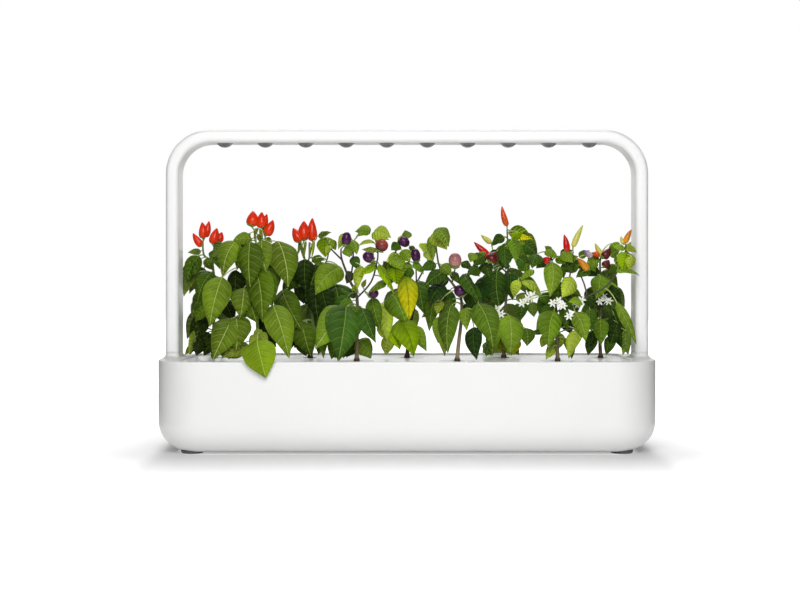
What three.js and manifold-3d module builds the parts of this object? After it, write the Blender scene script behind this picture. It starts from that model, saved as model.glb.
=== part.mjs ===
// Countertop hydroponic garden: a water tank, a lift-out tray with nine pods,
// and a lamp arch that stands in two sockets at the ends of the tank.
// Millimetres, +Z up, +X to the right, the front of the object faces -Y,
// and the four feet stand on z = 0.
import * as THREE from "three";
import { mergeVertices } from "three/addons/utils/BufferGeometryUtils.js";
import { ConvexGeometry } from "three/addons/geometries/ConvexGeometry.js";
import Module from "manifold-3d";

const wasm = await Module();
wasm.setup();

// Shared clearances
const fit_gap = 0.3;
const root_overlap = 0.5;
const cut_margin = 5;

// Tank
const tank_length = 610;
const tank_depth = 185;
const tank_rim_height = 113.5;
const tank_corner_radius = 55;
const tank_belly_radius = 37;
const tank_rim_edge = 1.2;
const tank_wall = 3;
const tank_floor_height = 7;
const deck_thickness = 3.5;
const foot_standoff = 2;
const end_deck_width = 29;
const side_deck_width = 3;
const tray_well_radius = 26;
const ledge_width = 4;
const ledge_thickness = 1.8;
const ledge_backing = 2;
const corner_steps = 4;
const belly_steps = 5;

// Feet
const foot_radius = 14;
const foot_edge = 1.4;
const foot_height = 4.2;
const foot_from_end = 43;
const foot_from_side = 42.5;
const foot_segments = 16;

// Tray
const tray_below_rim = 2.5;
const tray_thickness = 3.4;
const pod_counterbore_depth = 2.2;

// Pods
const pod_from_tray_end = 28;
const pod_row_offset = 32;
const pod_count = 9;
const middle_pod = 4;
const cup_flange_radius = 26;
const cup_flange_overhang = 4.2;
const cup_taper = 5.3;
const cup_wall = 1.5;
const cup_depth = 49;
const cup_floor = 2;
const cup_drain_radius = 5;
const lid_from_flange_edge = 3.9;
const lid_thickness = 1.1;
const lid_opening_radius = 9;
const soil_below_tray = 7;
const soil_clearance = 0.9;
const root_bore_radius = 4;
const root_depth = 12;
const pod_segments = 16;
const soil_segments = 12;

// Float
const float_from_tray_end = 26;
const float_radius = 6.5;
const float_hole_clearance = 0.5;
const float_length = 61.3;
const float_nose = 2.5;
const float_head_radius = 8.5;
const float_head_height = 5.7;
const float_head_edge = 1.5;
const float_segments = 16;

// Lamp arch
const arch_height = 398;
const leg_from_end = 12.5;
const leg_width = 16;
const leg_depth = 44;
const leg_corner_radius = 6;
const leg_wall = 2.5;
const arch_outer_radius = 55;
const arch_steps = 7;
const neck_height = 7.5;
const tenon_inset = 3;
const tenon_length = 32;
const tenon_wall = 2.5;
const tenon_corner_radius = 3;
const tenon_shoulder = 3;
const socket_wall = 3.2;
const socket_floor_gap = 1;
const neck_flare = 6;
const neck_flare_steps = 4;
const section_steps = 3;

// Lamp
const lamp_slot_from_bend = 1;
const lamp_slot_inset = 5;
const cover_thickness = 2;
const cover_cheek = 1.5;
const cover_cheek_height = 9;
const lens_count = 10;
const lens_from_slot_end = 15.45;
const lens_radius = 9.85;
const lens_hang = 5;
const lens_steps = 3;
const lens_segments = 12;
const lens_plate_thickness = 1.6;
const led_board_thickness = 1.6;
const led_chip_size = 5;
const led_chip_height = 1.6;

// Inlet, driver board and power button, at the back of the right leg
const driver_board_offset = 4.2;
const driver_board_depth = 28;
const driver_board_above_seam = 14;
const driver_board_length = 70;
const board_thickness = 1.6;
const inlet_above_seam = 29;
const inlet_width = 8.2;
const inlet_length = 13;
const inlet_bore_radius = 2.75;
const inlet_bore_depth = 9;
const inlet_pin_radius = 1;
const inlet_recess = 1;
const button_above_seam = 61;
const button_radius = 3.4;
const button_stand_out = 1.2;
const button_flange_radius = 4.4;
const button_flange_thickness = 1.2;
const button_length = 8.5;
const button_travel = 1.2;
const switch_size = 8;
const switch_depth = 6;
const small_segments = 16;

// How the plants are laid out: a viewer stands in front of the garden, and every
// leaf is placed by where the viewer sees it, in picture steps, and by how far
// it stands from the middle plane, as a share of the pod row's offset. Each
// plant is laid out from its own pod's column in the picture.
const viewer_distance = 1750;
const eye_above_rim = 109.2;
const picture_unit_width = 1.25818;
const picture_horizon_px = [270.4];
const pod_columns_px = [213.44, 256.41, 310.22, 356.81, 407, 457.19, 503.78, 557.59, 600.56];

// Limits that keep the plants apart and clear of the lamp and its legs
const plant_side_gap = 1;
const plant_middle_gap = 1.2;
const plant_overhang = 9.5;
const plant_above_tray = 4;
const plant_beyond_rim = 3.5;
const lamp_clearance = 4;
const lamp_shadow_above_rim = 124.5;
const leg_clearance_x = 7;
const leg_clearance_y = 9;
const plant_from_end = 4;

// Plant sections
const stem_radius = 2.8;
const twig_radius = 1.1;
const stem_sides = 4;
const petiole_radius = 0.9;
const petiole_sides = 3;
const root_inset_share = 0.12;
const leaf_half_thickness = 0.6;
const smallest_leaf_width = 13.4;
const leaf_wide_share = 0.42;
const leaf_arch_share = 0.03;
const leaf_face_tilt_share = 0.55;
const plant_merge_length = 0.1;
const fruit_sides = 4;
const fruit_shoulder_share = 0.35;
const fruit_base_share = 0.45;

// Skeleton of each plant: twigs as runs of points [across, down, depth share]
const twigs_px = [
  [
    [[213, 340, 1], [214, 316, 1.1], [213, 267, 1.1], [204, 255, 1.0], [203, 242, 1.0]],
    [[213, 267, 1.1], [214, 248, 1.3]],
    [[213, 292, 1.1], [230, 262, 0.8], [231, 246, 0.9]],
  ],
  [
    [[258, 340, -1], [257, 318, -1], [256, 282, -0.95], [256, 244, -1], [254, 230, -1]],
    [[256, 290, -0.95], [242, 268, -1.2], [238, 246, -1.1]],
    [[256, 262, -1], [266, 244, -1.1], [264, 234, -1.1]],
    [[257, 330, -1], [259, 336, -1.9]],
  ],
  [
    [[314, 340, 1], [312, 316, 1], [309, 280, 1.1], [305, 260, 1], [302, 246, 1]],
    [[307, 268, 1.05], [312, 246, 1.2]],
    [[309, 285, 1.05], [326, 262, 0.9], [329, 244, 0.9]],
  ],
  [
    [[357, 340, -1], [357, 298, -1], [350, 281, -1], [342, 260, -1.1], [341, 249, -1.1]],
    [[357, 298, -1], [371, 282, -1.1], [377, 262, -1.2], [378, 252, -1.2]],
    [[350, 281, -1], [353, 262, -1.2], [353, 242, -1.2]],
    [[342, 260, -1.1], [331, 249, -1.1]],
  ],
  [
    [[409, 340, 1], [411, 324, 1], [404, 305, 1], [398, 280, 0.9], [393, 262, 1], [398, 246, 1]],
    [[411, 324, 1], [416, 298, 1], [416, 264, 1.1]],
    [[393, 262, 1], [383, 262, 1]],
    [[416, 284, 1.05], [428, 262, 1.1]],
  ],
  [
    [[459, 340, -1], [461, 322, -1], [461, 298, -1], [452, 283, -1.1], [440, 268, -1.1], [436, 246, -1.1]],
    [[452, 283, -1.1], [455, 269, -1.2]],
    [[461, 320, -1], [472, 312, -1.2], [478, 302, -1.4]],
    [[461, 298, -1], [468, 278, -1.1], [476, 260, -1.2]],
  ],
  [
    [[504, 340, 1], [505, 318, 1], [506, 300, 1], [508, 274, 1], [508, 250, 1.1], [507, 230, 1.2]],
    [[508, 274, 1], [498, 264, 1.1], [494, 258, 1.1]],
    [[508, 262, 1.05], [522, 248, 1.2]],
    [[507, 290, 1], [524, 278, 0.9]],
  ],
  [
    [[557, 340, -1], [556, 310, -1], [552, 290, -1.1], [552, 262, -1.1], [548, 253, -1.1]],
    [[556, 306, -1], [564, 296, -1.1], [571, 270, -1.2], [573, 252, -1.2]],
    [[556, 312, -1], [584, 298, -1.1], [585, 287, -1.1], [579, 272, -1.1]],
    [[584, 298, -1.1], [604, 288, -1.3], [616, 274, -1.5]],
  ],
  [
    [[600, 340, 1], [601, 305, 1], [601, 284, 1], [600, 264, 1.1], [602, 252, 1.1]],
    [[601, 284, 1], [611, 272, 1.1], [623, 258, 1.2], [626, 246, 1.2]],
    [[601, 308, 1], [614, 304, 1.1]],
    [[601, 284, 1], [594, 268, 1], [594, 258, 1]],
  ],
];

// Leaves of each plant: [base across, base down, tip across, tip down, width,
// base depth share, tip depth share, tone]
const leaves_px = [
  [
    [201, 251, 188, 252, 6, 1.0, 1.2, 3], [199, 256, 185, 281, 16, 0.9, 0.7, 1], [193, 274, 184, 296, 10, 1.2, 1.5, 4],
    [212, 272, 197, 302, 19, 0.8, 0.4, 1], [206, 300, 190, 319, 16, 0.9, 0.6, 2], [207, 317, 188, 346, 17, 0.9, 0.5, 0],
    [199, 330, 185, 359, 11, 0.8, 0.3, 4], [208, 332, 196, 356, 18, 1.1, 1.3, 0], [216, 332, 213, 356, 14, 0.7, 0.3, 1],
    [232, 243, 222, 277, 18, 0.8, 0.5, 4], [216, 276, 226, 308, 17, 1.4, 2.2, 1], [204, 268, 190, 292, 16, 1.6, 2.4, 1],
    [216, 300, 232, 328, 18, 1.5, 2.3, 1], [210, 305, 196, 334, 17, 1.7, 2.6, 2], [214, 250, 220, 268, 11, 1.6, 2.2, 3],
  ],
  [
    [228, 277, 213, 326, 23, -1.5, -2.1, 3], [238, 318, 215, 360, 25, -1.6, -2.4, 3], [241, 318, 239, 349, 22, -1.7, -2.3, 3],
    [250, 346, 221, 357, 13, -1.4, -2.0, 4], [257, 340, 266, 378, 29, -3.03, -3.19, 5], [273, 305, 289, 357, 25, -1.5, -2.2, 3],
    [276, 241, 285, 287, 23, -1.3, -1.8, 3], [250, 242, 250, 286, 25, -1.5, -2.0, 2], [262, 240, 266, 271, 19, -1.4, -1.9, 3],
    [268, 262, 272, 306, 19, -1.2, -1.7, 2], [255, 266, 262, 321, 25, -1.4, -2.0, 2], [244, 288, 240, 317, 21, -1.3, -1.8, 3],
    [248, 296, 257, 322, 20, -1.2, -1.6, 2], [236, 270, 233, 305, 15, -0.8, -0.5, 0], [262, 310, 277, 348, 15, -0.7, -0.4, 0],
    [246, 241, 236, 268, 18, -1.1, -1.4, 2], [258, 334, 249, 344, 9, -1.9, -2.2, 4], [260, 333, 268, 345, 10, -1.8, -2.1, 4],
    [238, 243, 222, 262, 17, -1.2, -1.5, 2],
  ],
  [
    [305, 259, 306, 292, 18, 0.8, 0.5, 0], [299, 264, 288, 288, 13, 0.9, 0.8, 0], [341, 267, 315, 294, 22, 0.7, 0.3, 3],
    [312, 258, 325, 260, 8, 1.0, 0.9, 2], [316, 258, 319, 266, 9, 0.8, 0.6, 2], [326, 237, 325, 257, 16, 0.9, 0.7, 5],
    [330, 240, 336, 250, 8, 1.0, 1.1, 4], [318, 282, 318, 318, 19, 0.8, 0.4, 0], [282, 290, 303, 331, 22, 0.6, 0.2, 2],
    [302, 322, 311, 358, 22, 0.7, 0.3, 2], [304, 328, 294, 348, 14, 0.9, 0.8, 1], [315, 300, 317, 345, 14, 1.2, 1.4, 0],
    [335, 284, 338, 312, 24, 0.8, 0.5, 1], [309, 270, 296, 296, 18, 1.5, 2.3, 1], [318, 262, 334, 286, 18, 1.5, 2.4, 2],
    [310, 292, 326, 324, 19, 1.7, 2.6, 1], [308, 304, 290, 330, 18, 1.6, 2.4, 2],
  ],
  [
    [345, 308, 315, 347, 28, -1.4, -2.3, 3], [350, 306, 341, 364, 32, -1.5, -2.6, 1], [362, 308, 376, 342, 18, -1.5, -2.0, 1],
    [326, 338, 323.5, 361, 6, -1.3, -1.5, 3], [358, 340, 372, 359, 16, -0.9, -0.8, 3], [348, 340, 343, 359, 16, -0.9, -0.8, 3],
    [370, 230, 356, 236, 8, -1.3, -1.5, 3], [372, 233, 389, 239, 10, -1.3, -1.5, 4], [346, 233, 338, 249, 9, -0.9, -1.0, 4],
    [352, 240, 357, 254, 10, -1.3, -1.5, 3], [347, 247, 350, 257, 10, -1.3, -1.5, 3], [352, 257, 359, 270, 9, -1.1, -1.3, 1],
    [374, 242, 358, 246, 6, -1.3, -1.6, 4], [376, 250, 362, 249, 6, -1.2, -1.3, 4], [379, 264, 395, 294, 9, -1.4, -1.7, 5],
    [375, 265, 359, 276, 10, -1.4, -1.7, 5], [386, 280, 368, 292, 9, -1.2, -1.4, 3], [362, 266, 357, 290, 9, -1.4, -1.6, 4],
    [352, 272, 346, 284, 10, -0.8, -0.6, 1], [372, 298, 381, 330, 16, -0.8, -0.5, 2], [348, 296, 336, 322, 18, -0.7, -0.3, 1],
  ],
  [
    [406, 278, 411, 320, 19, 0.7, 0.3, 6], [396, 266, 397, 284, 15, 0.8, 0.6, 5], [381, 303, 387, 341, 14, 0.8, 0.5, 4],
    [392, 294, 406, 323, 23, 0.7, 0.4, 2], [399, 320, 414, 358, 22, 0.6, 0.2, 5], [392, 326, 400, 349, 14, 0.8, 0.5, 5],
    [416, 326, 427, 351, 11, 0.8, 0.6, 3], [407, 239, 405, 230, 9, 1.0, 1.0, 3], [399, 243, 391, 250, 10, 0.9, 0.8, 1],
    [400, 255, 386, 262, 9, 0.8, 0.7, 4], [402, 250, 410, 262, 11, 0.9, 0.8, 3], [395, 254, 403, 270, 15, 0.8, 0.6, 3],
    [426, 243, 424, 253, 10, 1.0, 0.9, 4], [420, 281, 424, 313, 17, 0.8, 0.5, 1], [436, 290, 429, 331, 13, 0.7, 0.4, 2],
    [414, 262, 424, 274, 9, 1.0, 0.9, 2], [408, 262, 404, 278, 10, 1.1, 1.0, 3], [400, 288, 386, 314, 18, 1.5, 2.4, 2],
    [414, 284, 430, 310, 17, 1.6, 2.5, 1], [404, 306, 414, 334, 17, 1.6, 2.5, 4], [398, 264, 388, 286, 15, 1.5, 2.2, 3],
  ],
  [
    [434, 232, 447, 249, 17, -1.2, -1.5, 4], [431, 236, 433, 262, 8, -1.2, -1.4, 3], [428, 244, 425, 253, 10, -1.0, -1.1, 4],
    [441, 265, 452, 275, 11, -1.4, -1.6, 3], [436, 264, 420, 270, 9, -1.2, -1.4, 1], [446, 271, 424, 286, 15, -1.3, -1.6, 1],
    [443, 284, 429, 306, 17, -1.1, -1.3, 0], [456, 305, 451, 352, 18, -1.6, -2.3, 2], [442, 318, 445, 356, 11, -1.1, -1.3, 4],
    [441, 300, 437, 314, 9, -1.0, -1.1, 4], [463, 274, 479, 300, 15, -1.4, -1.8, 1], [478, 303, 493, 345, 22, -1.5, -2.2, 2],
    [474, 327, 477, 360, 15, -1.6, -2.1, 0], [466, 308, 467, 330, 11, -1.3, -1.6, 3], [484, 255, 474, 266, 12, -1.2, -1.3, 1],
    [474, 253, 470, 262, 9, -1.3, -1.4, 3], [479, 267, 467, 274, 11, -1.2, -1.4, 1], [450, 290, 438, 318, 16, -0.7, -0.3, 1],
    [468, 284, 480, 312, 17, -0.7, -0.3, 1],
  ],
  [
    [497, 270, 499, 304, 24, 0.6, 0.3, 1], [511, 315, 512, 355, 23, 0.6, 0.2, 3], [518, 339, 511, 361, 9, 0.9, 0.8, 6],
    [505, 342, 510, 361, 9, 1.0, 0.9, 5], [505, 243, 506, 270, 13, 0.8, 0.6, 1], [512, 240, 516, 263, 11, 0.9, 0.8, 2],
    [510, 234, 533, 238, 8, 1.1, 1.0, 6], [516, 241, 531, 258, 13, 0.9, 0.8, 3], [499, 238, 491, 246, 7, 1.2, 1.3, 3],
    [504, 247, 494, 252, 6, 1.1, 1.1, 3], [519, 263, 530, 271, 10, 0.9, 0.8, 2], [511, 273, 513, 300, 13, 0.8, 0.6, 0],
    [520, 277, 512, 297, 12, 1.1, 1.2, 4], [522, 280, 542, 297, 10, 0.8, 0.7, 4], [534, 270, 520, 281, 7, 0.8, 0.7, 3],
    [523, 302, 521, 320, 12, 0.8, 0.7, 1], [533, 302, 534, 317, 10, 1.0, 1.0, 2], [526, 328, 527, 346, 14, 0.7, 0.5, 2],
    [495, 320, 492, 357, 13, 0.6, 0.3, 3], [498, 341, 492, 372, 22, 3.04, 3.19, 3], [485, 278, 484, 305, 19, 1.0, 1.2, 1], [504, 286, 490, 314, 18, 1.5, 2.4, 1],
    [510, 268, 526, 292, 17, 1.6, 2.4, 2], [506, 304, 522, 332, 18, 1.6, 2.6, 2], [506, 252, 494, 274, 15, 1.6, 2.3, 1],
  ],
  [
    [552, 262, 550, 296, 16, -1.4, -1.8, 3], [537, 254, 532, 268, 13, -1.2, -1.4, 1], [545, 251, 558, 258, 9, -1.3, -1.5, 3],
    [562, 252, 573, 262, 11, -1.3, -1.5, 3], [564, 262, 573, 273, 13, -1.1, -1.2, 1], [560, 267, 564, 278, 9, -1.2, -1.3, 1],
    [573, 278, 562, 297, 15, -1.3, -1.6, 4], [556, 311, 550, 347, 22, -1.5, -2.1, 2], [548, 314, 536, 330, 11, -1.2, -1.4, 2],
    [546, 330, 528, 334, 7, -1.1, -1.3, 1], [546, 335, 541, 348, 8, -0.8, -0.6, 4], [560, 333, 559, 349, 8, -0.8, -0.6, 4],
    [553, 347, 546, 359, 8, -1.3, -1.6, 4], [563, 305, 568, 331, 9, -1.3, -1.5, 1], [575, 312, 586, 341, 15, -1.5, -2.0, 3],
    [568, 317, 578, 332, 11, -1.1, -1.2, 1], [579, 330, 569, 358, 12, -1.6, -2.0, 4], [590, 309, 592, 331, 13, -1.2, -1.4, 1],
    [582, 302, 569, 301, 9, -1.4, -1.7, 3], [585, 300, 596, 306, 9, -1.2, -1.3, 0], [588, 333, 589, 346, 8, -0.9, -0.8, 0],
    [616, 271, 640, 275, 7, -1.5, -1.7, 3], [617, 303, 637.5, 344, 9, -1.5, -1.7, 3], [550, 292, 540, 318, 15, -0.7, -0.3, 1],
    [566, 288, 578, 314, 16, -0.7, -0.3, 2],
  ],
  [
    [600, 275, 596, 299, 18, 0.7, 0.4, 2], [605, 283, 622, 300, 11, 0.9, 0.9, 3], [613, 287, 625, 307, 10, 1.1, 1.2, 0],
    [624, 254, 627, 271, 18, 1.1, 1.1, 5], [612, 243, 618, 252, 10, 1.1, 1.0, 3], [627, 244, 636, 252, 9, 1.2, 1.2, 4],
    [589, 255, 601, 262, 10, 0.9, 0.8, 2], [597, 261, 587, 269, 10, 0.8, 0.7, 3], [608, 266, 622, 268, 6, 1.0, 1.0, 3],
    [614, 315, 622, 348, 21, 0.8, 0.9, 0], [600, 318, 601, 345, 14, 0.7, 0.4, 2], [610, 300, 623, 313, 11, 0.9, 0.9, 1],
    [628, 328, 622, 355, 11, 1.1, 1.1, 3], [596, 303, 606, 301, 8, 0.8, 0.7, 0], [599, 286, 588, 312, 17, 1.5, 2.4, 1],
    [604, 270, 618, 292, 16, 1.6, 2.4, 2], [602, 306, 616, 334, 18, 1.6, 2.5, 1], [598, 302, 584, 330, 17, 1.5, 2.3, 2],
  ],
];

// Fruits of each plant: [base across, base down, tip across, tip down, width, depth share, tone]
const fruits_px = [
  [
    [202, 246, 193, 233, 6, 0.9, 0], [203, 238, 202, 222, 7, 1.0, 0], [205, 237, 209, 221, 6, 1.1, 0],
    [213, 244, 217, 228, 8, 1.1, 0], [219, 242, 222, 232, 6, 1.3, 0],
  ],
  [
    [252, 226, 253, 211, 10, -1.1, 0], [262, 228, 262, 212, 8, -1.1, 0], [263, 229, 267, 214, 6, -1.0, 0],
    [266, 235, 273, 220, 8, -1.2, 0],
  ],
  [
    [300, 242, 293, 228, 8, 0.9, 0], [304, 240, 304, 221, 10, 1.0, 0], [313, 241, 312.5, 218, 8, 1.2, 0],
  ],
  [
    [345, 246, 346.5, 232, 8.5, -1.4, 2], [379, 251, 385, 240, 11.5, -1.5, 3], [373, 261, 364, 253, 8.5, -1.5, 2],
    [370, 297, 377, 290, 7.5, -1.2, 2],
  ],
  [
    [399, 238, 409, 245, 8.5, 0.9, 2], [417, 262, 414.5, 249, 8.5, 0.9, 2],
  ],
  [
    [455, 268, 455, 253.5, 12, -1.4, 4], [490, 262, 496, 252, 10.5, -1.3, 5], [463, 296, 458, 285, 10, -1.4, 2],
  ],
  [
    [489, 256, 474, 242, 5.5, 0.9, 1], [491, 243, 481, 235, 4.5, 1.2, 6], [507, 226, 502, 206, 6, 1.2, 7],
  ],
  [
    [567, 252, 564, 234.5, 6.5, -1.3, 1], [573, 247, 583, 225, 5.5, -1.2, 6], [549, 262, 543, 258, 6, -1.4, 1],
    [588, 270, 577, 258, 7, -1.4, 8],
  ],
  [
    [592, 257, 583.5, 250, 5, 0.8, 9], [599, 254, 592, 256, 5.5, 0.9, 7], [603, 257, 595, 243, 4.5, 1.0, 6],
    [603, 258, 610, 248, 7, 0.9, 5], [604, 267, 609, 260, 7, 0.8, 5], [624, 243, 631, 229.5, 6, 1.2, 8],
  ],
];

// Materials
const white_plastic = new THREE.MeshStandardMaterial({ color: 0xf1f1ef, roughness: 0.35 });
const arch_white = new THREE.MeshStandardMaterial({ color: 0xf4f4f2, roughness: 0.3 });
const smoke_plastic = new THREE.MeshStandardMaterial({ color: 0x55575a, roughness: 0.25 });
const board_white = new THREE.MeshStandardMaterial({ color: 0xdfe2dc, roughness: 0.6 });
const board_green = new THREE.MeshStandardMaterial({ color: 0x1d5a34, roughness: 0.6 });
const dark_plastic = new THREE.MeshStandardMaterial({ color: 0x1b1b1c, roughness: 0.5 });
const grey_rubber = new THREE.MeshStandardMaterial({ color: 0x5c5d5e, roughness: 0.9 });
const dark_soil = new THREE.MeshStandardMaterial({ color: 0x2a1d14, roughness: 1 });
const leaf_green = new THREE.MeshStandardMaterial({ color: 0x4c7d1c, roughness: 0.6 });

// Solid helpers
function toSolid(geometry) {
  const bare = geometry.clone();
  bare.deleteAttribute("normal");
  bare.deleteAttribute("uv");
  const merged = mergeVertices(bare);
  const mesh = new wasm.Mesh({
    numProp: 3,
    vertProperties: Float32Array.from(merged.attributes.position.array),
    triVerts: Uint32Array.from(merged.index.array),
  });
  return new wasm.Manifold(mesh);
}

function toMesh(solid, name, material) {
  const data = solid.getMesh();
  const geometry = new THREE.BufferGeometry();
  geometry.setAttribute("position", new THREE.BufferAttribute(Float32Array.from(data.vertProperties), data.numProp));
  geometry.setIndex(new THREE.BufferAttribute(Uint32Array.from(data.triVerts), 1));
  geometry.computeVertexNormals();
  const mesh = new THREE.Mesh(geometry, material.clone());
  mesh.name = name;
  return mesh;
}

function geometryOf(points, triangles) {
  const geometry = new THREE.BufferGeometry();
  const flat = points.flatMap((p) => [p.x, p.y, p.z]);
  geometry.setAttribute("position", new THREE.BufferAttribute(Float32Array.from(flat), 3));
  geometry.setIndex(triangles.flat());
  return geometry;
}

function outwardSolid(points, triangles) {
  let six_volumes = 0;
  for (const [a, b, c] of triangles) {
    six_volumes += points[a].dot(points[b].clone().cross(points[c]));
  }
  const outward = six_volumes > 0 ? triangles : triangles.map(([a, b, c]) => [a, c, b]);
  return toSolid(geometryOf(points, outward));
}

// A closed solid through rings of equal point counts; a one-point ring makes a tip
function loft(rings) {
  const points = rings.flat();
  const triangles = [];
  let start = 0;
  for (let i = 0; i + 1 < rings.length; i += 1) {
    const here = rings[i].length;
    const next = rings[i + 1].length;
    const after = start + here;
    const count = Math.max(here, next);
    for (let k = 0; k < count; k += 1) {
      const m = (k + 1) % count;
      const a = start + (here > 1 ? k : 0);
      const b = start + (here > 1 ? m : 0);
      const c = after + (next > 1 ? k : 0);
      const d = after + (next > 1 ? m : 0);
      if (here > 1) {
        triangles.push([a, b, d]);
      }
      if (next > 1) {
        triangles.push([a, d, c]);
      }
    }
    start = after;
  }
  const first = rings[0].length;
  const last = rings[rings.length - 1].length;
  for (let k = 1; k + 1 < first; k += 1) {
    triangles.push([0, k + 1, k]);
  }
  for (let k = 1; k + 1 < last; k += 1) {
    triangles.push([start, start + k, start + k + 1]);
  }
  return outwardSolid(points, triangles);
}

function roundedRing(half_x, half_y, radius, z, steps) {
  const ring = [];
  const corners = [[1, 1, 0], [-1, 1, 1], [-1, -1, 2], [1, -1, 3]];
  for (const [sx, sy, quarter] of corners) {
    for (let k = 0; k <= steps; k += 1) {
      const angle = (quarter + k / steps) * Math.PI / 2;
      const x = sx * (half_x - radius) + radius * Math.cos(angle);
      const y = sy * (half_y - radius) + radius * Math.sin(angle);
      ring.push(new THREE.Vector3(x, y, z));
    }
  }
  return ring;
}

function roundedPrism(half_x, half_y, radius, low, high, steps) {
  return loft([
    roundedRing(half_x, half_y, radius, low, steps),
    roundedRing(half_x, half_y, radius, high, steps),
  ]);
}

function block(x0, x1, y0, y1, z0, z1) {
  const geometry = new THREE.BoxGeometry(x1 - x0, y1 - y0, z1 - z0);
  geometry.translate((x0 + x1) / 2, (y0 + y1) / 2, (z0 + z1) / 2);
  return toSolid(geometry);
}

// A solid of revolution about Z from a closed outline of [radius, height]
function turned(outline, segments, x, y) {
  const points = [];
  const rows = outline.map(([radius, height]) => {
    const count = radius > 0 ? segments : 1;
    const row = [];
    for (let k = 0; k < count; k += 1) {
      const angle = (k / segments) * Math.PI * 2;
      row.push(points.length);
      points.push(new THREE.Vector3(x + radius * Math.cos(angle), y + radius * Math.sin(angle), height));
    }
    return row;
  });
  const triangles = [];
  for (let i = 0; i < rows.length; i += 1) {
    const here = rows[i];
    const next = rows[(i + 1) % rows.length];
    for (let k = 0; k < segments; k += 1) {
      const m = (k + 1) % segments;
      const a = here[here.length > 1 ? k : 0];
      const b = here[here.length > 1 ? m : 0];
      const c = next[next.length > 1 ? k : 0];
      const d = next[next.length > 1 ? m : 0];
      if (a !== b) {
        triangles.push([a, b, d]);
      }
      if (c !== d) {
        triangles.push([a, d, c]);
      }
    }
  }
  return outwardSolid(points, triangles);
}

// The convex solid wrapped around a set of points
function wrapped(points) {
  return toSolid(new ConvexGeometry(points));
}

function joined(solids) {
  return solids.reduce((sum, solid) => sum.add(solid));
}

// Sizes worked out from those above
const half_length = tank_length / 2;
const half_depth = tank_depth / 2;
const well_half_x = half_length - end_deck_width;
const well_half_y = half_depth - side_deck_width;
const tray_top_height = tank_rim_height - tray_below_rim;
const pod_pitch = (well_half_x - pod_from_tray_end) * 2 / (pod_count - 1);
const cup_flange_thickness = pod_counterbore_depth - fit_gap;
const cup_mouth_radius = cup_flange_radius - cup_flange_overhang;
const cup_toe_radius = cup_mouth_radius - cup_taper;
const cup_bottom_height = tray_top_height - cup_depth;
const lid_radius = cup_flange_radius - lid_from_flange_edge;
const soil_top_height = tray_top_height - soil_below_tray;
const root_bottom_height = soil_top_height - root_depth;
const seam_height = tank_rim_height + neck_height;
const leg_centre_x = half_length - leg_from_end;
const half_leg = leg_width / 2;
const half_leg_depth = leg_depth / 2;
const tenon_half_x = half_leg - tenon_inset;
const tenon_half_y = half_leg_depth - tenon_inset;

const group = new THREE.Group();

function addNode(solid, name, material) {
  group.add(toMesh(solid, name, material));
}

// Tank
function tankRing(inset, z) {
  return roundedRing(half_length - inset, half_depth - inset, tank_corner_radius - inset, z, corner_steps);
}

function bellyRings(inset_from_outside, lowest) {
  const radius = tank_belly_radius - inset_from_outside;
  const centre_height = foot_standoff + tank_belly_radius;
  const first = Math.asin(Math.min(1, (centre_height - lowest) / radius));
  const rings = [];
  for (let k = 0; k <= belly_steps; k += 1) {
    const angle = first * (1 - k / belly_steps);
    const inset = tank_belly_radius - radius * Math.cos(angle);
    rings.push(tankRing(inset, centre_height - radius * Math.sin(angle)));
  }
  return rings;
}

const deck_underside = tank_rim_height - deck_thickness;
const tank_outside = loft([
  ...bellyRings(0, foot_standoff),
  tankRing(0, tank_rim_height - tank_rim_edge),
  tankRing(tank_rim_edge, tank_rim_height),
]);
const tank_inside = loft([
  ...bellyRings(tank_wall, tank_floor_height),
  tankRing(tank_wall, deck_underside),
]);

const tray_bottom_height = tray_top_height - tray_thickness;
const ledge_top = tray_bottom_height - fit_gap;
const ledge_bottom = ledge_top - ledge_thickness;
const ledge_outside = roundedPrism(
  well_half_x + ledge_backing, well_half_y + ledge_backing, tray_well_radius + ledge_backing,
  ledge_bottom, deck_underside + root_overlap, corner_steps,
);
const ledge_hole = roundedPrism(
  well_half_x - ledge_width, well_half_y - ledge_width, tray_well_radius - ledge_width,
  ledge_bottom - cut_margin, tank_rim_height + cut_margin, corner_steps,
);
const tray_well = roundedPrism(
  well_half_x, well_half_y, tray_well_radius, ledge_top, tank_rim_height + cut_margin, corner_steps,
);

// Sockets for the arch at both ends
const tenon_bottom = seam_height - tenon_length;
const socket_bottom = tenon_bottom - socket_floor_gap;

function moved(rings, x) {
  return rings.map((ring) => ring.map((p) => p.clone().setX(p.x + x)));
}

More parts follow.
